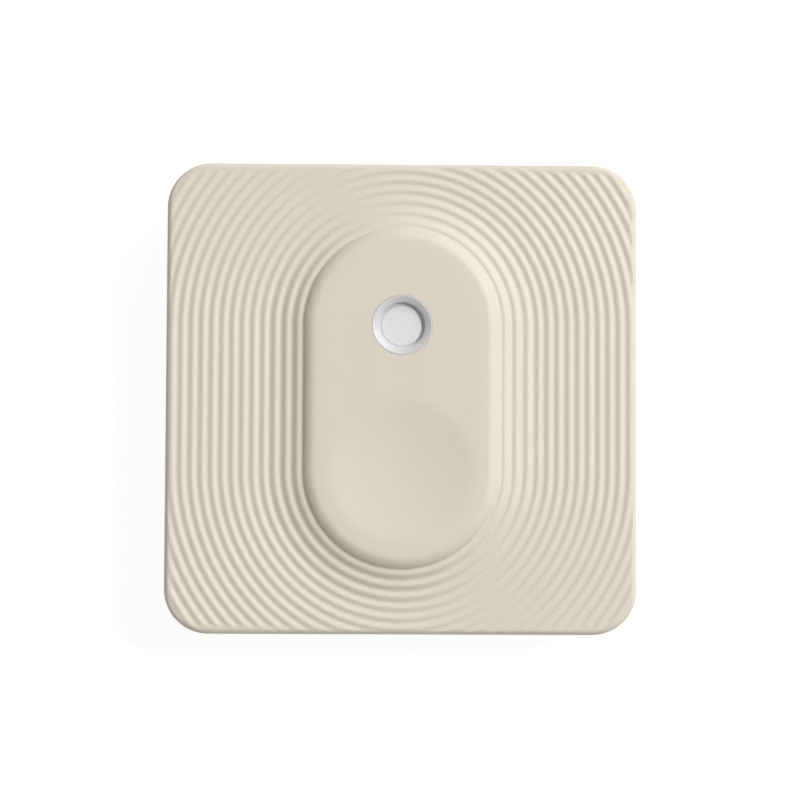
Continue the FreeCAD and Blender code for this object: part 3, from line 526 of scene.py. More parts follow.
def relief_tree():
    """The rule of the front: pill-shaped plinth, cove, concentric ribs, finger dish and rounded rim."""
    names = ["Arc spacing", "Case half", "Case corner", "Rim rounding", "Face", "Crests", "Rib depth",
             "Cove rib depth", "First groove", "Cove pitch", "Cove ribs", "Rib pitch", "Cove end",
             "Cove radius", "Face radius", "Shoulder", "Shoulder slope", "Foot blend", "Dish radius",
             "Dish depth", "Dish curve"]
    tree, start = new_tree("Front relief", names)
    point = add(tree, "ShaderNodeSeparateXYZ", {0: add(tree, "GeometryNodeInputPosition")})
    known = {name: start.outputs[name] for name in names}
    known.update(x=point.outputs[0], y=point.outputs[1])
    made = formula(tree, known, [
        # distance from the pill's middle line
        ("half spacing", "MULTIPLY", "Arc spacing", 0.5),
        ("off y", "ABSOLUTE", "y"),
        ("beyond", "MAXIMUM", ("SUBTRACT", "off y", "half spacing"), 0.0),
        ("r", *diagonal("x", "beyond")),
        # ribs, with the cove's pitch near the plinth
        ("join", "ADD", "First groove", ("MULTIPLY", "Cove ribs", "Cove pitch")),
        ("near turns", "DIVIDE", ("SUBTRACT", ("MINIMUM", "r", "join"), "First groove"), "Cove pitch"),
        ("far turns", "DIVIDE", ("MAXIMUM", ("SUBTRACT", "r", "join"), 0.0), "Rib pitch"),
        ("wave", "COSINE", ("MULTIPLY", ("ADD", "far turns", "near turns"), 2 * math.pi)),
        ("lowered", "MULTIPLY_ADD", "wave", 0.5, 0.5),
        # the cove climbs to the plinth, and its grooves get deeper
        ("cove width", "SUBTRACT", "Cove end", "Face radius"),
        ("on cove", "MAXIMUM", ("MINIMUM", ("SUBTRACT", "Cove end", "r"), "cove width"), 0.0),
        ("more depth", "SUBTRACT", "Cove rib depth", "Rib depth"),
        ("depth here", "MULTIPLY_ADD", "more depth", ("DIVIDE", "on cove", "cove width"), "Rib depth"),
        ("climb", "SUBTRACT", "Cove radius", on_circle("Cove radius", "on cove")),
        ("field", "SUBTRACT", ("ADD", "Crests", "climb"), ("MULTIPLY", "lowered", "depth here")),
        # the plinth's shoulder, round and then straight
        ("on shoulder", "MAXIMUM", ("SUBTRACT", "r", "Face radius"), 0.0),
        ("on round", "MINIMUM", "on shoulder", ("MULTIPLY", "Shoulder", ("SINE", "Shoulder slope"))),
        ("round drop", "SUBTRACT", "Shoulder", on_circle("Shoulder", "on round")),
        ("past round", "SUBTRACT", "on shoulder", "on round"),
        ("whole drop", "MULTIPLY_ADD", "past round", ("TANGENT", "Shoulder slope"), "round drop"),
        # the ribs' field passes close under the flat face, which the blend lifts there by up to a sixth of it
        ("front", "SMOOTH_MAX", ("SUBTRACT", "Face", "whole drop"), "field", "Foot blend"),
        # the finger dish at the lower arc's centre
        ("dish y", "ADD", "y", "half spacing"),
        ("in dish", "MINIMUM", ("DIVIDE", diagonal("x", "dish y"), "Dish radius"), 1.0),
        ("dish share", "POWER", ("SUBTRACT", 1.0, squared("in dish")), "Dish curve"),
        ("dished", "SUBTRACT", "front", ("MULTIPLY", "dish share", "Dish depth")),
        # the rounded rim, by the distance to the case's outline
        ("straight", "SUBTRACT", "Case half", "Case corner"),
        ("over x", "SUBTRACT", ("ABSOLUTE", "x"), "straight"),
        ("over y", "SUBTRACT", "off y", "straight"),
        ("out", *diagonal(("MAXIMUM", "over x", 0.0), ("MAXIMUM", "over y", 0.0))),
        ("inner", "MINIMUM", ("MAXIMUM", "over x", "over y"), 0.0),
        ("inset", "SUBTRACT", "Case corner", ("ADD", "out", "inner")),
        ("rim part", "MAXIMUM", ("SUBTRACT", "Rim rounding", "inset"), 0.0),
        ("rim run", "MINIMUM", "rim part", "Rim rounding"),
        ("rim top", "ADD", "Crests", ("MULTIPLY", "Rib depth", 0.5)),
        ("rim foot", "SUBTRACT", "rim top", "Rim rounding"),
        ("rim limit", "ADD", "rim foot", on_circle("Rim rounding", "rim run")),
        # clear of the rim the limit goes up by a metre and holds nothing back
        ("limit", "ADD", "rim limit", ("GREATER_THAN", "inset", "Rim rounding")),
        ("height", "MINIMUM", "dished", "limit"),
    ])
    place = add(tree, "ShaderNodeCombineXYZ", {0: made["x"], 1: made["y"], 2: made["height"]})
    marked = add(tree, "GeometryNodeInputNamedAttribute", {"Name": "relief"}, data_type="BOOLEAN")
    moved = add(tree, "GeometryNodeSetPosition",
                {"Geometry": start.outputs[0], "Selection": marked, "Position": place})
    return end_tree(tree, moved, "ivory ABS")


def shell_hollow(size):
    """What is cut out of the front block: the case's room, the plinth's hollow, vents and the ring's hole.

    Its parts reach past the faces that they open.
    """
    inner = CASE_HALF - size.side_wall
    arc_y = size.arc_spacing / 2
    hollow_top = FACE - size.plinth_wall
    pill = rounded_rectangle(size.hollow_radius, arc_y + size.hollow_radius, size.hollow_radius, 24)
    tools = [("UNION", pill, CEILING - MM, hollow_top),
             ("UNION", circle(size.ring_hole, 24, (0, arc_y)), hollow_top - MM, FACE + MM)]
    middle = (BOARD_FRONT + CEILING) / 2
    for number in range(size.vents):
        x = (number - (size.vents - 1) / 2) * size.vent_pitch
        slot = rounded_rectangle(size.vent_width / 2, size.side_wall, size.vent_corner, 2, (x, -CASE_HALF))
        tools.append(("UNION", slot, middle - size.vent_height / 2, middle + size.vent_height / 2))
    for side_x, side_y in ((-1, 1), (-1, -1), (1, -1)):
        place = (side_x * size.boss_place, side_y * size.boss_place)
        tools += [("DIFFERENCE", circle(size.boss_radius, 16, place), BOARD_FRONT, CEILING + MM),
                  ("UNION", circle(size.pilot_radius, 10, place), BOARD_FRONT - 0.1 * MM,
                   BOARD_FRONT + size.pilot_depth)]
    walls = rounded_rectangle(inner, inner, size.case_corner - size.side_wall)
    room = prism("room", walls, SPLIT - MM, CEILING)
    for operation, outline, bottom, top in tools:
        combine(room, prism("tool", outline, bottom, top), operation)
    return room


class SENSOR_OT_front_shell(bpy.types.Operator):
    """Make the ribbed front shell from its rule, hollow inside"""
    bl_idname = "sensor.front_shell"
    bl_label = "Front shell"

    def execute(self, context):
        size = context.scene.sensor_front
        shell = flat_front(size)
        fed = {label: getattr(size, key) for key, label in settings_of(size).items()}
        shape_with(shell, relief_tree(), {**fed, "Case half": CASE_HALF, "Face": FACE})
        merged(shell)
        combine(shell, shell_hollow(size), "DIFFERENCE")
        shell.data.attributes.remove(shell.data.attributes["relief"])
        shell.name = "ribbed_shell"
        dressed(shell, "ivory ABS", 33)
        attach(shell, "housing")
        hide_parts("front_shell")
        return {"FINISHED"}


# ---- ring and button ----

class SENSOR_OT_ring_and_button(bpy.types.Operator):
    """Make the translucent light ring and the button's disc inside it"""
    bl_idname = "sensor.ring_and_button"
    bl_label = "Ring and button"

    def execute(self, context):
        size = context.scene.sensor_ring
        hollow_top = FACE - context.scene.sensor_front.plinth_wall
        back = hollow_top - size.flange_thick
        skirt = low("light_ring", 2)
        inner = size.flange - size.skirt_wall
        top = FACE + size.proud
        # The mouth is a funnel that flattens towards its rim, over a step round the button.
        mouth = [(size.seat + (size.mouth - size.seat) * share,
                  top - size.mouth_depth * (1 - share) ** size.mouth_curve)
                 for share in np.linspace(0, 1, 13)]
        mouth = [(size.bore, top - size.seat_depth), (size.seat, top - size.seat_depth)] + mouth
        section = [(size.collar, top), (size.collar, hollow_top), (size.flange, hollow_top),
                   (size.flange, skirt), (inner, skirt), (inner, back), (size.bore, back)]
        # The rim's corner is eased towards the ring's back, not the mouth, which slopes it down to the seam.
        section = mouth + eased(section, {0: size.rim_edge, 3: size.edge, 4: size.edge})
        ring = dressed(turned("ring", section), "frosted polycarbonate")
        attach(ring, "housing")
        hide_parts("light_ring")

        lip = high("button_cap", 0)
        bottom, top = low("button_cap", 2), high("button_cap", 2)
        step = bottom + size.button_lip
        section = [(0, bottom), (lip, bottom), (lip, step), (size.button_radius, step),
                   (size.button_radius, top), (0, top)]
        section = eased(section, {1: 2 * size.edge, 2: 2 * size.edge, 4: size.edge})
        button = dressed(turned("button", section), "satin grey ABS")
        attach(button, "button")
        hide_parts("button_cap")
        return {"FINISHED"}


# ---- foam ----

# Cut foam between two films: how far its side pulls in, in millimetres, at shares of its thickness.
WAIST = ((0.05, 0), (0, 0.05), (0, 0.09), (0.07, 0.2), (0.12, 0.5), (0.07, 0.8), (0, 0.91), (0, 0.95),
         (0.05, 1))


class SENSOR_OT_foam(bpy.types.Operator):
    """Make the foam pad on the back and the foam seal round the humidity sensor"""
    bl_idname = "sensor.foam"
    bl_label = "Foam"

    def execute(self, context):
        size = context.scene.sensor_foam
        half, top = high("adhesive_pad", 0), high("adhesive_pad", 2)
        rings = []
        for inset, share in WAIST:
            side, corner = half - inset * MM, size.pad_corner - inset * MM
            rings.append([(x, y, share * top) for x, y in rounded_rectangle(side, side, corner)])
        pad = dressed(lofted("foam_pad", rings), "polyethylene foam")
        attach(pad, "base")
        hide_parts("adhesive_pad")

        (left, near, bottom), (right, far, top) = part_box("sensor_seal")
        wall = size.frame_wall
        outline = [(left, near), (left + wall, near), (left + wall, far - wall), (right - wall, far - wall),
                   (right - wall, near), (right, near), (right, far), (left, far)]
        seal = prism("foam_frame", outline, bottom, top)
        bevelled(seal, size.frame_edge, 3)
        dressed(seal, "urethane foam")
        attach(seal, "housing")
        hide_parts("sensor_seal")
        return {"FINISHED"}


# ---- board ----

def solids_of(node):
    """Middle and size of each separate solid of a CAD node."""
    bm = bmesh.new()
    bm.from_mesh(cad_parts[node].data)
    bmesh.ops.remove_doubles(bm, verts=bm.verts, dist=DOUBLED)
    left, boxes = set(bm.verts), []
    while left:
        solid = [left.pop()]
        for point in solid:
            joined = {edge.other_vert(point) for edge in point.link_edges} & left
            left -= joined
            solid += joined
        lowest, highest = (Vector(map(side, zip(*(point.co for point in solid)))) for side in (min, max))
        boxes.append(((lowest + highest) / 2, highest - lowest))
    bm.free()
    return sorted(boxes, key=lambda box: tuple(box[0]))


def repeat_tree(name, kind, inputs, material):
    """A rule that puts a unit shape on every point, as large as the point's own size."""
    tree, start = new_tree(name, ["Growth"])
    size = add(tree, "GeometryNodeInputNamedAttribute", {"Name": "size"}, data_type="FLOAT_VECTOR")
    grown = add(tree, "ShaderNodeVectorMath", {0: size, "Scale": start.outputs["Growth"]}, operation="SCALE")
    spread = add(tree, "GeometryNodeInstanceOnPoints",
                 {"Points": start.outputs[0], "Instance": add(tree, kind, inputs), "Scale": grown})
    return end_tree(tree, spread, material)


BLOCK = ("GeometryNodeMeshCube", {"Size": (1.0, 1.0, 1.0)})
DISC = ("GeometryNodeMeshCylinder", {"Vertices": 24, "Radius": 0.5, "Depth": 1.0})
DOME = ("GeometryNodeMeshUVSphere", {"Segments": 16, "Rings": 8, "Radius": 0.5})


def repeated(name, spots, shape, material, bevel=0.0):
    """A unit shape on each spot, a (place, size) pair, on the housing."""
    piece = new_piece(name, [place for place, _ in spots])
    sizes = piece.data.attributes.new("size", "FLOAT_VECTOR", "POINT")
    sizes.data.foreach_set("vector", [part for _, size in spots for part in size])
    shape_with(piece, repeat_tree(name, *shape, material), {"Growth": 1.0})
    if bevel:
        bevelled(piece, bevel, 2)
    smooth(piece, 50)
    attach(piece, "housing")


def line_tree(name, material):
    """A rule that lays a flat strip along every line, with rounded bends."""
    tree, start = new_tree(name, ["Width", "Thickness", "Bend"])
    line = add(tree, "GeometryNodeMeshToCurve", {0: start.outputs[0]})
    bent = add(tree, "GeometryNodeFilletCurve", {"Curve": line, "Count": 4, "Radius": start.outputs["Bend"],
                                                 "Limit Radius": True}, mode="POLY")
    level = add(tree, "GeometryNodeSetCurveNormal", {"Curve": bent}, mode="Z_UP")
    section = add(tree, "GeometryNodeCurvePrimitiveQuadrilateral",
                  {0: start.outputs["Width"], 1: start.outputs["Thickness"]})
    strip = add(tree, "GeometryNodeCurveToMesh",
                {"Curve": level, "Profile Curve": section, "Fill Caps": True})
    return end_tree(tree, strip, material)


def strips(name, lines, width, thickness, bend, material):
    """Flat strips on the housing along lines of (x, y, z) points, closed where a line ends at its start."""
    points, edges = [], []
    for line in lines:
        first = len(points)
        closed = line[0] == line[-1]
        points += line[:-1] if closed else line
        edges += [(k, k + 1) for k in range(first, len(points) - 1)]
        if closed:
            edges.append((len(points) - 1, first))
    piece = new_piece(name, points, edges=edges)
    shape_with(piece, line_tree(name, material), {"Width": width, "Thickness": thickness, "Bend": bend})
    smooth(merged(piece), 30)
    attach(piece, "housing")


def chip_ends(sizes):
    """Tinned ends of the two-ended parts, as (place, size) pairs, and the solder at their feet."""
    ends, feet = [], []
    run, skin = sizes.end_run, sizes.end_skin
    foot_share = 0.9  # of the part's width and height
    for node in ("capacitors", "resistors", "inductor", "status_lights", "chip_antenna"):
        for middle, size in solids_of(node):
            axis = 0 if size.x > size.y else 1
            block = size + Vector((skin, skin, skin))
            block[axis] = run + skin
            lump = Vector((size[1 - axis], size[1 - axis], size.z)) * foot_share
            lump[axis] = sizes.foot_run
            for side in (-1, 1):
                place, foot = middle.copy(), middle.copy()
                place[axis] += side * (size[axis] - run) / 2
                foot[axis] += side * size[axis] / 2
                foot.z = BOARD_FRONT
                ends.append((place, block))
                feet.append((foot, lump))
    return ends, feet


def lands(node, count, pitch, width, sizes):
    """Tinned lands that stick out from under a square package, as (place, size) pairs."""
    middle, size = solids_of(node)[0]
    run, rise = sizes.land_run, sizes.land_rise
    spots = []
    for number in range(count):
        along = (number - (count - 1) / 2) * pitch
        for side in (-1, 1):
            spots += [((middle.x + side * size.x / 2, middle.y + along, BOARD_FRONT), (run, width, rise)),
                      ((middle.x + along, middle.y + side * size.y / 2, BOARD_FRONT), (width, run, rise))]
    return spots


def can_lands(node):
    """A land under each corner of a crystal's can."""
    middle, box = solids_of(node)[0]
    inset = 0.3 * MM
    land = (0.9 * MM, 0.9 * MM, 0.16 * MM)
    return [((middle.x + side_x * (box.x / 2 - inset), middle.y + side_y * (box.y / 2 - inset), BOARD_FRONT),
             land) for side_x in (-1, 1) for side_y in (-1, 1)]


def raised(outline, level):
    """A closed line over an outline."""
    return [(x, y, level) for x, y in outline + outline[:1]]


# Tracks as corner points in millimetres, on the front and on the back of the board.
FRONT_TRACKS = (
    ((-5, -1.5), (-3.4, -1.5), (-2.4, -2.1)), ((-2.4, -4.4), (-2.4, -5.2), (-1.5, -6.1)),
    ((-5, -3.9), (-4.2, -3.9), (-3.5, -6.6), (0.6, -8.6), (2.2, -9.6), (2.4, -12.6), (1.2, -13.4)),
    ((-5, -4.4), (-4.5, -4.6), (-3.9, -7), (0.3, -9.1), (1.8, -9.9), (2, -12.2), (1.2, -12.9)),
    ((-8.6, -7.6), (-8.6, -5.7)), ((-6.6, -7.6), (-6.6, -5.7)),
    ((-12, -2.4), (-11.2, -2.4), (-10.1, -2.9)), ((-12, -4), (-11.2, -4), (-10.1, -3.4)),
    ((-8.8, -0.7), (-8.8, 8.6), (-5, 12.4), (6.2, 12.4), (8.5, 14.5)),
    ((-2.4, 6.75), (-4.6, 6.75), (-6.4, 5), (-6.4, -0.7)),
    ((2.4, 6.75), (5, 6.75), (6.9, 4.8), (6.9, -1.2), (7.6, -1.6)),
    ((-3.1, 4.5), (-3.1, 3.2), (-5.9, 1.2), (-5.9, -0.7)),
    ((3.1, 4.5), (3.1, 3.4), (5.4, 1), (5.4, -1.9), (7.1, -1.9)),
    *(((5.2, y), (7.1, y)) for y in (-3.2, -4.5, -5.8, -7.1, -8.4)),
    ((8.1, -3.2), (10.4, -3.2), (12, -4.8), (12, -9.4)),
    ((8.1, -4.5), (9.8, -4.5), (11.2, -5.9), (11.2, -9.4)),
    ((8.1, -5.8), (9.2, -5.8), (10.4, -7), (10.4, -9.4)),
)
BACK_TRACKS = (
    ((9.6, 1.4), (9.6, 4.6), (7.2, 8.4), (3, 9.4)), ((9.6, -1.4), (9.6, -4.6), (12.6, -8), (12.6, -10.4)),
    ((0, 3.4), (0, 9.6), (2.4, 12.6), (8, 12.6)), ((1.4, 1), (4.6, 2.6), (4.6, 6.8)),
    ((-1.4, -1), (-4.4, -2.4), (-4.4, -7.4), (-8.4, -11.6)),
    ((12.4, 12.2), (12.4, 8.6), (14.2, 6.8), (14.2, -4)),
    ((14.4, 12.2), (15.2, 11.4), (15.2, -2.6)), ((-12.8, 3), (-14.4, 4.6), (-14.4, 9.4)),
    ((-12.8, -3), (-14.8, -5), (-14.8, -9.6)), ((-5.2, -13.2), (-9.6, -13.2), (-10.6, -12.2)),
    ((5.2, -13.2), (9.4, -13.2), (10.6, -12)),
    ((5.2, -14.6), (10.6, -14.6)), ((-5.2, -14.6), (-10.6, -14.6)),
)
TEST_PADS = (*((x, y) for y in (12.4, 14.4) for x in (12.4, 14.4)),
             *((x, y) for x in (-5.2, 5.2) for y in (-13.2, -14.6)),
             *((x, y) for x in (14.4, -14.4) for y in (-1.4, 1.4)),
             *((x, 14.2) for x in (-6, -3, 0, 3)))
VIAS = ((3, 9.4), (4.6, 7.2), (8.4, 12.6), (14.2, -4.4), (15.2, -3), (-14.4, 9.8), (-14.8, -10),
        (12.6, -10.8), (-8.6, -11.9), *((5, y) for y in (-3.2, -4.5, -5.8, -7.1, -8.4)),
        *((x, -9.8) for x in (12, 11.2, 10.4)), (-12.6, 3), (-12.6, -3), (10.9, -14.6), (-10.9, -14.6),
        (-1.3, -6.3))
# The solder that holds the cell's contacts: middle, width and length in millimetres.
CONTACT_JOINTS = ((9.6, 0, 1.6, 3.2), (0, 0, 3, 2.6))


class SENSOR_OT_joints(bpy.types.Operator):
    """Make the tinned ends, lands and solder joints of the parts on the board"""
    bl_idname = "sensor.joints"
    bl_label = "Solder joints"

    def execute(self, context):
        size = context.scene.sensor_board
        ends, feet = chip_ends(size)
        repeated("tinned_ends", ends, BLOCK, "reflowed tin solder", bevel=0.03 * MM)
        under = lands("radio_chip", 8, size.land_pitch, size.land, size)
        under += lands("humidity_sensor", 2, pitch=1.0 * MM, width=0.4 * MM, sizes=size)
        under += can_lands("main_crystal") + can_lands("clock_crystal")
        repeated("part_lands", under, BLOCK, "reflowed tin solder", bevel=0.02 * MM)
        for middle, box in solids_of("switch_terminals"):
            # a lump that goes a little past the leg on all sides
            feet.append(((middle.x, middle.y, BOARD_FRONT), (box.x * 1.5, box.y * 1.4, box.z * 1.8)))
        for x, y, width, run in CONTACT_JOINTS:
            feet.append(((x * MM, y * MM, BOARD_BACK), (width * MM, run * MM, 0.5 * MM)))
        repeated("solder_joints", feet, DOME, "reflowed tin solder")
        return {"FINISHED"}


class SENSOR_OT_board(bpy.types.Operator):
    """Make the tracks, test pads, vias and white part outlines of the circuit board"""
    bl_idname = "sensor.board"
    bl_label = "Board details"

    def execute(self, context):
        size = context.scene.sensor_board
        rise = size.track_rise
        # Ink, gold and test pads stand out further than the tracks, so that no two layers share a face.
        faces = ((FRONT_TRACKS, BOARD_FRONT), (BACK_TRACKS, BOARD_BACK))
        lines = [[(x * MM, y * MM, level) for x, y in track] for tracks, level in faces for track in tracks]
        strips("copper_tracks", lines, size.track_width, 2 * rise, size.track_bend, "masked copper")
        rings = [raised(circle(size.via, 4, (x * MM, y * MM)), level) for x, y in VIAS
                 for level in (BOARD_FRONT, BOARD_BACK)]
        strips("via_rings", rings, size.track_width, 3 * rise, 0.0, "immersion gold")
        pads = [((x * MM, y * MM, BOARD_BACK), (size.test_pad, size.test_pad, 4 * rise))
                for x, y in TEST_PADS]
        repeated("test_pads", pads, DISC, "immersion gold")

        marks = []
        for node in ("radio_chip", "main_crystal", "clock_crystal", "inductor", "chip_antenna"):
            middle, box = solids_of(node)[0]
            mark = rounded_rectangle(box.x / 2 + size.ink_gap, box.y / 2 + size.ink_gap,
                                     size.ink_corner, 3, middle)
            marks.append(raised(mark, BOARD_FRONT))
        marks.append(raised(circle(high("battery_holder", 0) + size.ink_gap, 40), BOARD_BACK))
        strips("part_outlines", marks, size.ink_width, 2.5 * rise, 0.0, "white marking ink")

        # The antenna's track runs from end to end in square turns, clear of the chip's edges.
        middle, box = solids_of("chip_antenna")[0]
        turns, margin = 8, 0.35 * MM
        start = middle.x - box.x / 2 + size.end_run
        step = (box.x - 2 * size.end_run) / turns
        reach = box.y / 2 - margin
        level = high("chip_antenna", 2)
        line = [(start, middle.y, level)]
        for number in range(turns):
            y = middle.y + (reach if number % 2 else -reach)
            line += [(start + (number + share) * step, y, level) for share in (0.25, 0.75)]
        line.append((start + turns * step, middle.y, level))
        strips("antenna_track", [line], width=0.22 * MM, thickness=0.03 * MM, bend=0.05 * MM,
               material="fired silver paste")

        middle, box = solids_of("radio_chip")[0]
        inset = 0.7 * MM
        mark = ((middle.x - box.x / 2 + inset, middle.y + box.y / 2 - inset, high("radio_chip", 2)),
                (0.5 * MM, 0.5 * MM, 0.02 * MM))
        repeated("first_contact_mark", [mark], DISC, "white marking ink")
        return {"FINISHED"}


# ---- finishes ----

METAL = {"Metallic": 1.0}
MASK = {"IOR": 1.55, "Coat Weight": 0.3, "Coat Roughness": 0.15}


def blank(kind, name):
    """A new material or world with an empty node tree."""
    made = kind.new(name)
    made.use_nodes = True
    made.node_tree.nodes.clear()
    return made


def finish(name, colour, shade, roughness, grain, depth, patch=5, swing=0.05, stretch=(1, 1, 1),
           texture="ShaderNodeTexNoise", values=None, on=()):
    """A material that drifts between two colours, under a skin of fine grains that also break up its gloss.

    The grains are grain millimetres wide and depth micrometres high, and the drift's patches are patch
    millimetres. A stretch below 1 draws the grains out along that axis. values go straight to the shader's
    own sockets. The nodes named by on keep their CAD shape and wear it.
    """
    colour, shade = (linear(tone) if isinstance(tone, str) else tone for tone in (colour, shade))
    material = blank(bpy.data.materials, name)
    tree = material.node_tree
    place = add(tree, "ShaderNodeTexCoord").outputs["Object"]
    drift = add(tree, "ShaderNodeTexNoise", {"Vector": place, "Scale": 1 / (patch * MM), "Detail": 2.0})
    colours = add(tree, "ShaderNodeMix", {"Factor": drift, 6: shade, 7: colour}, data_type="RGBA")
    along = add(tree, "ShaderNodeVectorMath", {0: place, 1: stretch}, operation="MULTIPLY")
    grains = add(tree, texture,
                 {"Vector": along, "Scale": 1 / (grain * MM), "Detail": 3.0, "Roughness": 0.55})
    gloss = add(tree, "ShaderNodeMapRange", {"Value": grains, "From Min": 0.3, "From Max": 0.7,
                                             "To Min": roughness - swing, "To Max": roughness + swing})
    bump = add(tree, "ShaderNodeBump", {"Height": grains, "Distance": depth * MICRO, "Strength": 1.0})
    shader = add(tree, "ShaderNodeBsdfPrincipled", {"Base Color": colours.outputs[2], "Roughness": gloss,
                                                    "Normal": bump, **(values or {})})
    add(tree, "ShaderNodeOutputMaterial", {"Surface": shader})
    for node in on:
        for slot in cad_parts[node].material_slots:
            slot.material = material
    return tree, shader


def waves(tree, shader, spacing, depth, **settings):
    """Even lines or rings, millimetres apart and micrometres high, over the bump that the shader has."""
    place = add(tree, "ShaderNodeTexCoord").outputs["Object"]
    repeat = 0.314  # of a wave texture of scale 1, in metres
    lines = add(tree, "ShaderNodeTexWave", {"Vector": place, "Scale": repeat / (spacing * MM)}, **settings)
    under = shader.inputs["Normal"].links[0].from_socket
    bump = add(tree, "ShaderNodeBump",
               {"Height": lines, "Distance": depth * MICRO, "Strength": 1.0, "Normal": under})
    tree.links.new(bump.outputs[0], shader.inputs["Normal"])


def case_finishes(colours):
    shell, ring, button = ((*colour, 1.0) for colour in (colours.shell, colours.ring, colours.button))
    darker = {colour: (*(0.97 * part for part in colour[:3]), 1.0) for colour in (shell, ring, button)}
    # ABS from a spark-eroded mould: even and matte, with only a broad sheen on its slopes.
    finish("ivory ABS", shell, darker[shell], 0.55, 0.12, 1.2, 6, values={"IOR": 1.53}, on=["rear_cover"])
    # Polycarbonate from a blasted mould: milky, with light that enters it and spreads, and a satin skin.
    finish("frosted polycarbonate", ring, darker[ring], 0.36, 0.2, 0.8, values={
        "IOR": 1.58, "Subsurface Weight": 0.35, "Subsurface Radius": (1.0, 0.98, 0.96),
        "Subsurface Scale": 0.5 * MM})
    # ABS with a satin lacquer: smoother than the case and a little cooler than the ring.
    finish("satin grey ABS", button, darker[button], 0.42, 0.1, 0.8, values={"IOR": 1.53})
    # Polyethylene foam tape, cut with a knife: white and dull, with closed bubbles of 0.3 mm on its sides.
    finish("polyethylene foam", "#ECEAE4", "#DEDCD5", 0.85, 0.3, 30,
           texture="ShaderNodeTexVoronoi", values={"Sheen Weight": 0.1})
    # Polyurethane foam, cast and cut: near black, with fine open pores that swallow the light.
    finish("urethane foam", "#39393C", "#29292B", 0.95, 0.14, 40, texture="ShaderNodeTexVoronoi")


def cell_finishes():
    # Nickel-plated steel, deep drawn and turned: bright, with fine rings that draw the light out.
    tree, shader = finish("drawn nickel-plated steel", "#D6D5D1", "#CDCBC6", 0.24, 0.08, 0.4,
                          swing=0.03, values=METAL, on=["cell_can", "cell_cap"])
    waves(tree, shader, 0.3, 0.5, wave_type="RINGS", rings_direction="Z")
    # Polypropylene, moulded: waxy and a little translucent.
    finish("moulded polypropylene", "#C6C6BF", "#B8B8B0", 0.45, 0.1, 1,
           values={"IOR": 1.49, "Subsurface Weight": 0.2, "Subsurface Scale": 0.3 * MM}, on=["cell_gasket"])
    # Manganese dioxide with graphite, pressed to a tablet: sooty, with a coarse crumb and no gloss.
    finish("pressed manganese dioxide", "#333234", "#222122", 0.9, 0.15, 10, 2, on=["cell_cathode"])
    # Polypropylene felt, blown and rolled: white, with tangled fibres and a soft nap.
    finish("polypropylene felt", "#EEEDE7", "#DBDAD3", 0.95, 0.12, 12, 1.5,
           stretch=(1, 0.3, 1), values={"Sheen Weight": 0.3}, on=["cell_separator"])
    # Lithium foil, rolled and punched: a soft metal, silvery with dull grey clouds.
    finish("lithium foil", "#C4C6C8", "#8E9195", 0.5, 0.4, 2, 2.5, 0.1, (1, 0.2, 1),
           values=METAL, on=["cell_anode"])


def metal_finishes():
    # Steel strip, rolled, nickel plated and punched: bright, with fine lines along the strip.
    finish("nickel-plated spring steel", "#CFCBC2", "#BDB8AE", 0.3, 0.08, 0.8, stretch=(0.15, 1, 1),
           values=METAL,
           on=["positive_contact", "negative_contact", "switch_frame", "switch_dome", "switch_terminals"])
    # Steel, headed and zinc plated: paler blue-grey, slightly cloudy.
    finish("zinc-plated steel", "#C0C3C7", "#A8ABB0", 0.36, 0.12, 1.5, 1, values=METAL, on=["board_screws"])
    # Kovar lid, nickel plated and seam welded: brushed lightly one way.
    finish("nickel-plated lid", "#D3CFC6", "#C3BFB5", 0.32, 0.06, 0.8, stretch=(1, 0.1, 1),
           values=METAL, on=["main_crystal", "clock_crystal"])
    # Tin solder, reflowed: bright and faintly dimpled where it set.
    finish("reflowed tin solder", "#D3D4D4", "#BDBFC0", 0.25, 0.2, 5, 1, values=METAL)
    # Gold, laid on nickel from a bath: thin, even and satin.
    finish("immersion gold", "#E2BD74", "#D2A95F", 0.34, 0.1, 0.8, 1, values=METAL)
    # Silver paste, printed and fired: whitish metal with a mesh-printed, slightly rough skin.
    finish("fired silver paste", "#DDDBD6", "#CBC9C3", 0.45, 0.06, 3, 1, values=METAL)


def laminate_finish():
    # Glass cloth in epoxy under a green solder mask: glossy, the 0.5 mm weave just felt through it. The
    # milled edges are bare and show the yellowish glass.
    tree, shader = finish("solder-masked laminate", "#25683F", "#1E5A35", 0.3, 0.2, 1, 8,
                          values=MASK, on=["main_board"])
    for direction in ("X", "Y"):
        waves(tree, shader, 0.5, 1.5, bands_direction=direction)
    way = add(tree, "ShaderNodeSeparateXYZ", {0: add(tree, "ShaderNodeNewGeometry").outputs["Normal"]})
    steep = add(tree, "ShaderNodeMath", {0: way.outputs[2]}, operation="ABSOLUTE")
    flat = add(tree, "ShaderNodeMath", {0: steep, 1: 0.5}, operation="GREATER_THAN")
    masked = shader.inputs["Base Color"].links[0].from_socket
    surface = add(tree, "ShaderNodeMix", {"Factor": flat, 6: linear("#C4B883"), 7: masked}, data_type="RGBA")
    tree.links.new(surface.outputs[2], shader.inputs["Base Color"])


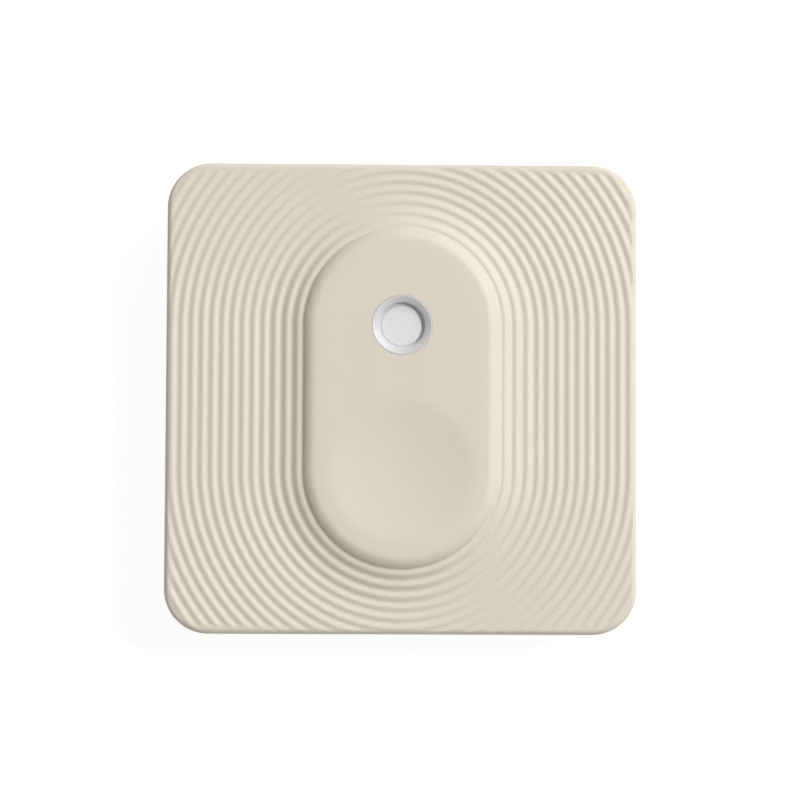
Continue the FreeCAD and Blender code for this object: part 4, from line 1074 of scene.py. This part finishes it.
def board_finishes():
    # Copper under the same mask: a lighter green.
    finish("masked copper", "#37875A", "#2E7A4E", 0.3, 0.2, 1, 3, values=MASK)
    # Epoxy ink, screen printed: chalky white with slightly ragged edges.
    finish("white marking ink", "#ECECE6", "#DEDED8", 0.65, 0.08, 2, 1)
    # Nylon with glass fibre, moulded: black, matte, with short fibres that show as faint flecks.
    finish("black glass-filled nylon", "#242426", "#1A1A1C", 0.5, 0.1, 3, 2,
           stretch=(0.3, 1, 1), values={"IOR": 1.53}, on=["battery_holder", "switch_base", "switch_plunger"])
    # Epoxy with silica, moulded round a chip: dark grey, with an eroded, dusty skin.
    finish("epoxy moulding compound", "#2F3033", "#262729", 0.62, 0.07, 3, 1,
           values={"IOR": 1.55}, on=["radio_chip", "humidity_sensor"])
    # Alumina, pressed and fired: off-white and dense, with a fine dry grain.
    finish("fired alumina", "#E0DCD1", "#D2CDC1", 0.55, 0.06, 1.5, 1.5, values={"IOR": 1.76},
           on=["chip_antenna"])
    # Barium titanate, stacked and fired: tan, smooth and slightly waxy.
    finish("fired barium titanate", "#A78765", "#957555", 0.45, 0.05, 1.2, 0.5, on=["capacitors"])
    # Alumina chip under a black glaze: shiny with rounded, drawn-in edges.
    finish("black resistor glaze", "#222226", "#1A1A1E", 0.25, 0.08, 1, 0.5,
           values={"Coat Weight": 0.4, "Coat Roughness": 0.1}, on=["resistors"])
    # Ferrite, pressed and fired: dull dark grey, with pits.
    finish("fired ferrite", "#606165", "#4C4D50", 0.7, 0.08, 6, 0.5, on=["inductor"])
    # Clear silicone over yellow phosphor, cast: smooth, warm and deep.
    finish("silicone over phosphor", "#EAD993", "#E2CC76", 0.25, 0.15, 1, 0.5, values={
        "IOR": 1.41, "Subsurface Weight": 0.5, "Subsurface Radius": (1.0, 0.8, 0.4),
        "Subsurface Scale": 0.2 * MM}, on=["status_lights"])
    # Expanded fluoropolymer film: chalk white and porous.
    finish("expanded fluoropolymer film", "#F1F1EE", "#E5E5E1", 0.9, 0.05, 4, 0.5, on=["sensor_membrane"])


class SENSOR_OT_finishes(bpy.types.Operator):
    """Make the materials of all pieces, and dress the parts that keep their shape"""
    bl_idname = "sensor.finishes"
    bl_label = "Finishes"

    def execute(self, context):
        case_finishes(context.scene.sensor_colours)
        cell_finishes()
        metal_finishes()
        laminate_finish()
        board_finishes()
        return {"FINISHED"}


# ---- stage ----

WHITE = (1.0, 1.0, 1.0, 1.0)


def backdrop_share(tree):
    """1 for what the camera sees directly, mirrored or through glass, and 0 for light on the object."""
    path = add(tree, "ShaderNodeLightPath")
    seen = add(tree, "ShaderNodeMath",
               {0: path.outputs["Is Camera Ray"], 1: path.outputs["Is Glossy Ray"]}, operation="MAXIMUM")
    return add(tree, "ShaderNodeMath", {0: seen, 1: path.outputs["Is Transmission Ray"]}, operation="MAXIMUM")


def facing(place, target):
    """Where a lamp or camera stands and how it turns to look at a target, with +Y up in its view."""
    back = (place - target).normalized()
    right = Vector((0, 1, 0)).cross(back).normalized()
    turn = Matrix((right, back.cross(right), back)).transposed().to_4x4()
    return Matrix.Translation(place) @ turn


def add_floor(stage):
    """White paper that looks plain white, keeps the sensor's faint shadow and doesn't show from below."""
    # It is open where the pad covers it, so that the pad's back is lit when it is seen from below.
    floor_half, opening = 2, 0.97 * high("adhesive_pad", 0)
    around = [(side_x * half, side_y * half, 0) for half in (opening, floor_half)
              for side_x, side_y in ((-1, -1), (1, -1), (1, 1), (-1, 1))]
    floor = new_piece("floor", around, sides(2, 4))
    paper = blank(bpy.data.materials, "white paper")
    tree = paper.node_tree
    matte, dim = (add(tree, "ShaderNodeBsdfDiffuse", {"Color": (grey, grey, grey, 1.0)})
                  for grey in (stage.paper, stage.paper_shadow))
    glow = add(tree, "ShaderNodeEmission", {"Color": WHITE, "Strength": stage.paper_glow})
    bright = add(tree, "ShaderNodeAddShader", {0: dim, 1: glow})
    above = add(tree, "ShaderNodeMixShader", {0: backdrop_share(tree), 1: matte, 2: bright})
    below = add(tree, "ShaderNodeNewGeometry").outputs["Backfacing"]
    clear = add(tree, "ShaderNodeBsdfTransparent")
    surface = add(tree, "ShaderNodeMixShader", {0: below, 1: above, 2: clear})
    add(tree, "ShaderNodeOutputMaterial", {"Surface": surface})
    floor.data.materials.append(paper)


class SENSOR_OT_stage(bpy.types.Operator):
    """Make the floor, the lights, the white surroundings and the camera"""
    bl_idname = "sensor.stage"
    bl_label = "Stage"

    def execute(self, context):
        scene = context.scene
        stage = scene.sensor_stage
        add_floor(stage)

        scene.world = blank(bpy.data.worlds, "studio")
        tree = scene.world.node_tree
        even = add(tree, "ShaderNodeBackground", {"Color": WHITE, "Strength": stage.fill})
        white = add(tree, "ShaderNodeBackground", {"Color": WHITE, "Strength": 1.0})
        light = add(tree, "ShaderNodeMixShader", {0: backdrop_share(tree), 1: even, 2: white})
        add(tree, "ShaderNodeOutputWorld", {"Surface": light})

        target = Vector((0, 0, (SPLIT + FACE) / 2))
        for name in ("soft", "small"):
            azimuth, height, size, power = (getattr(stage, f"{name}_{what}")
                                            for what in ("azimuth", "height", "size", "power"))
            light = bpy.data.lights.new(f"{name}_lamp", "AREA")
            light.energy = power
            light.size = size
            way = Vector((math.cos(height) * math.cos(azimuth), math.cos(height) * math.sin(azimuth),
                          math.sin(height)))
            lamp = placed(f"{name}_lamp", light)
            lamp.matrix_world = facing(target + way * stage.lamp_distance, target)

        lens = bpy.data.cameras.new("camera")
        lens.lens = lens.sensor_width * stage.distance / stage.view_width
        lens.clip_start = 0.01
        front = Vector((stage.aim_x, stage.aim_y, stage.aim_z))
        across, down = math.sin(stage.tilt_left), math.sin(stage.tilt_down)
        way = Vector((-across, -down, math.sqrt(1 - across ** 2 - down ** 2)))
        scene.camera = placed("camera", lens)
        roll = Matrix.Rotation(stage.roll, 4, "Z")
        scene.camera.matrix_world = facing(front + way * stage.distance, front) @ roll
        scene.view_settings.view_transform = "Standard"
        return {"FINISHED"}


# ---- add-on ----

class SENSOR_PT_panel(bpy.types.Panel):
    """Lists what makes the sensor, in order"""
    bl_idname = "SENSOR_PT_panel"
    bl_label = "Sensor"
    bl_space_type = "VIEW_3D"
    bl_region_type = "UI"
    bl_category = "Sensor"

    def draw(self, context):
        layout = self.layout
        for step in STEPS:
            layout.operator(step.bl_idname)
        for name in GROUPS:
            group = getattr(context.scene, name)
            box = layout.box()
            for key in settings_of(group):
                box.prop(group, key)


STEPS = (SENSOR_OT_finishes, SENSOR_OT_front_shell, SENSOR_OT_ring_and_button, SENSOR_OT_foam,
         SENSOR_OT_joints, SENSOR_OT_board, SENSOR_OT_stage)
GROUPS = {"sensor_front": SensorFrontSizes, "sensor_ring": SensorRingSizes, "sensor_foam": SensorFoamSizes,
          "sensor_board": SensorBoardSizes, "sensor_colours": SensorColours, "sensor_stage": SensorStage}


def register():
    for cls in (*GROUPS.values(), *STEPS, SENSOR_PT_panel):
        bpy.utils.register_class(cls)
    for name, group in GROUPS.items():
        setattr(bpy.types.Scene, name, PointerProperty(type=group))


def unregister():
    for name in GROUPS:
        delattr(bpy.types.Scene, name)
    for cls in (SENSOR_PT_panel, *reversed(STEPS), *GROUPS.values()):
        bpy.utils.unregister_class(cls)


def main():
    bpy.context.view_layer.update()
    register()
    for step in STEPS:
        group, name = step.bl_idname.split(".")
        getattr(getattr(bpy.ops, group), name)()


if __name__ == "__main__":
    main()
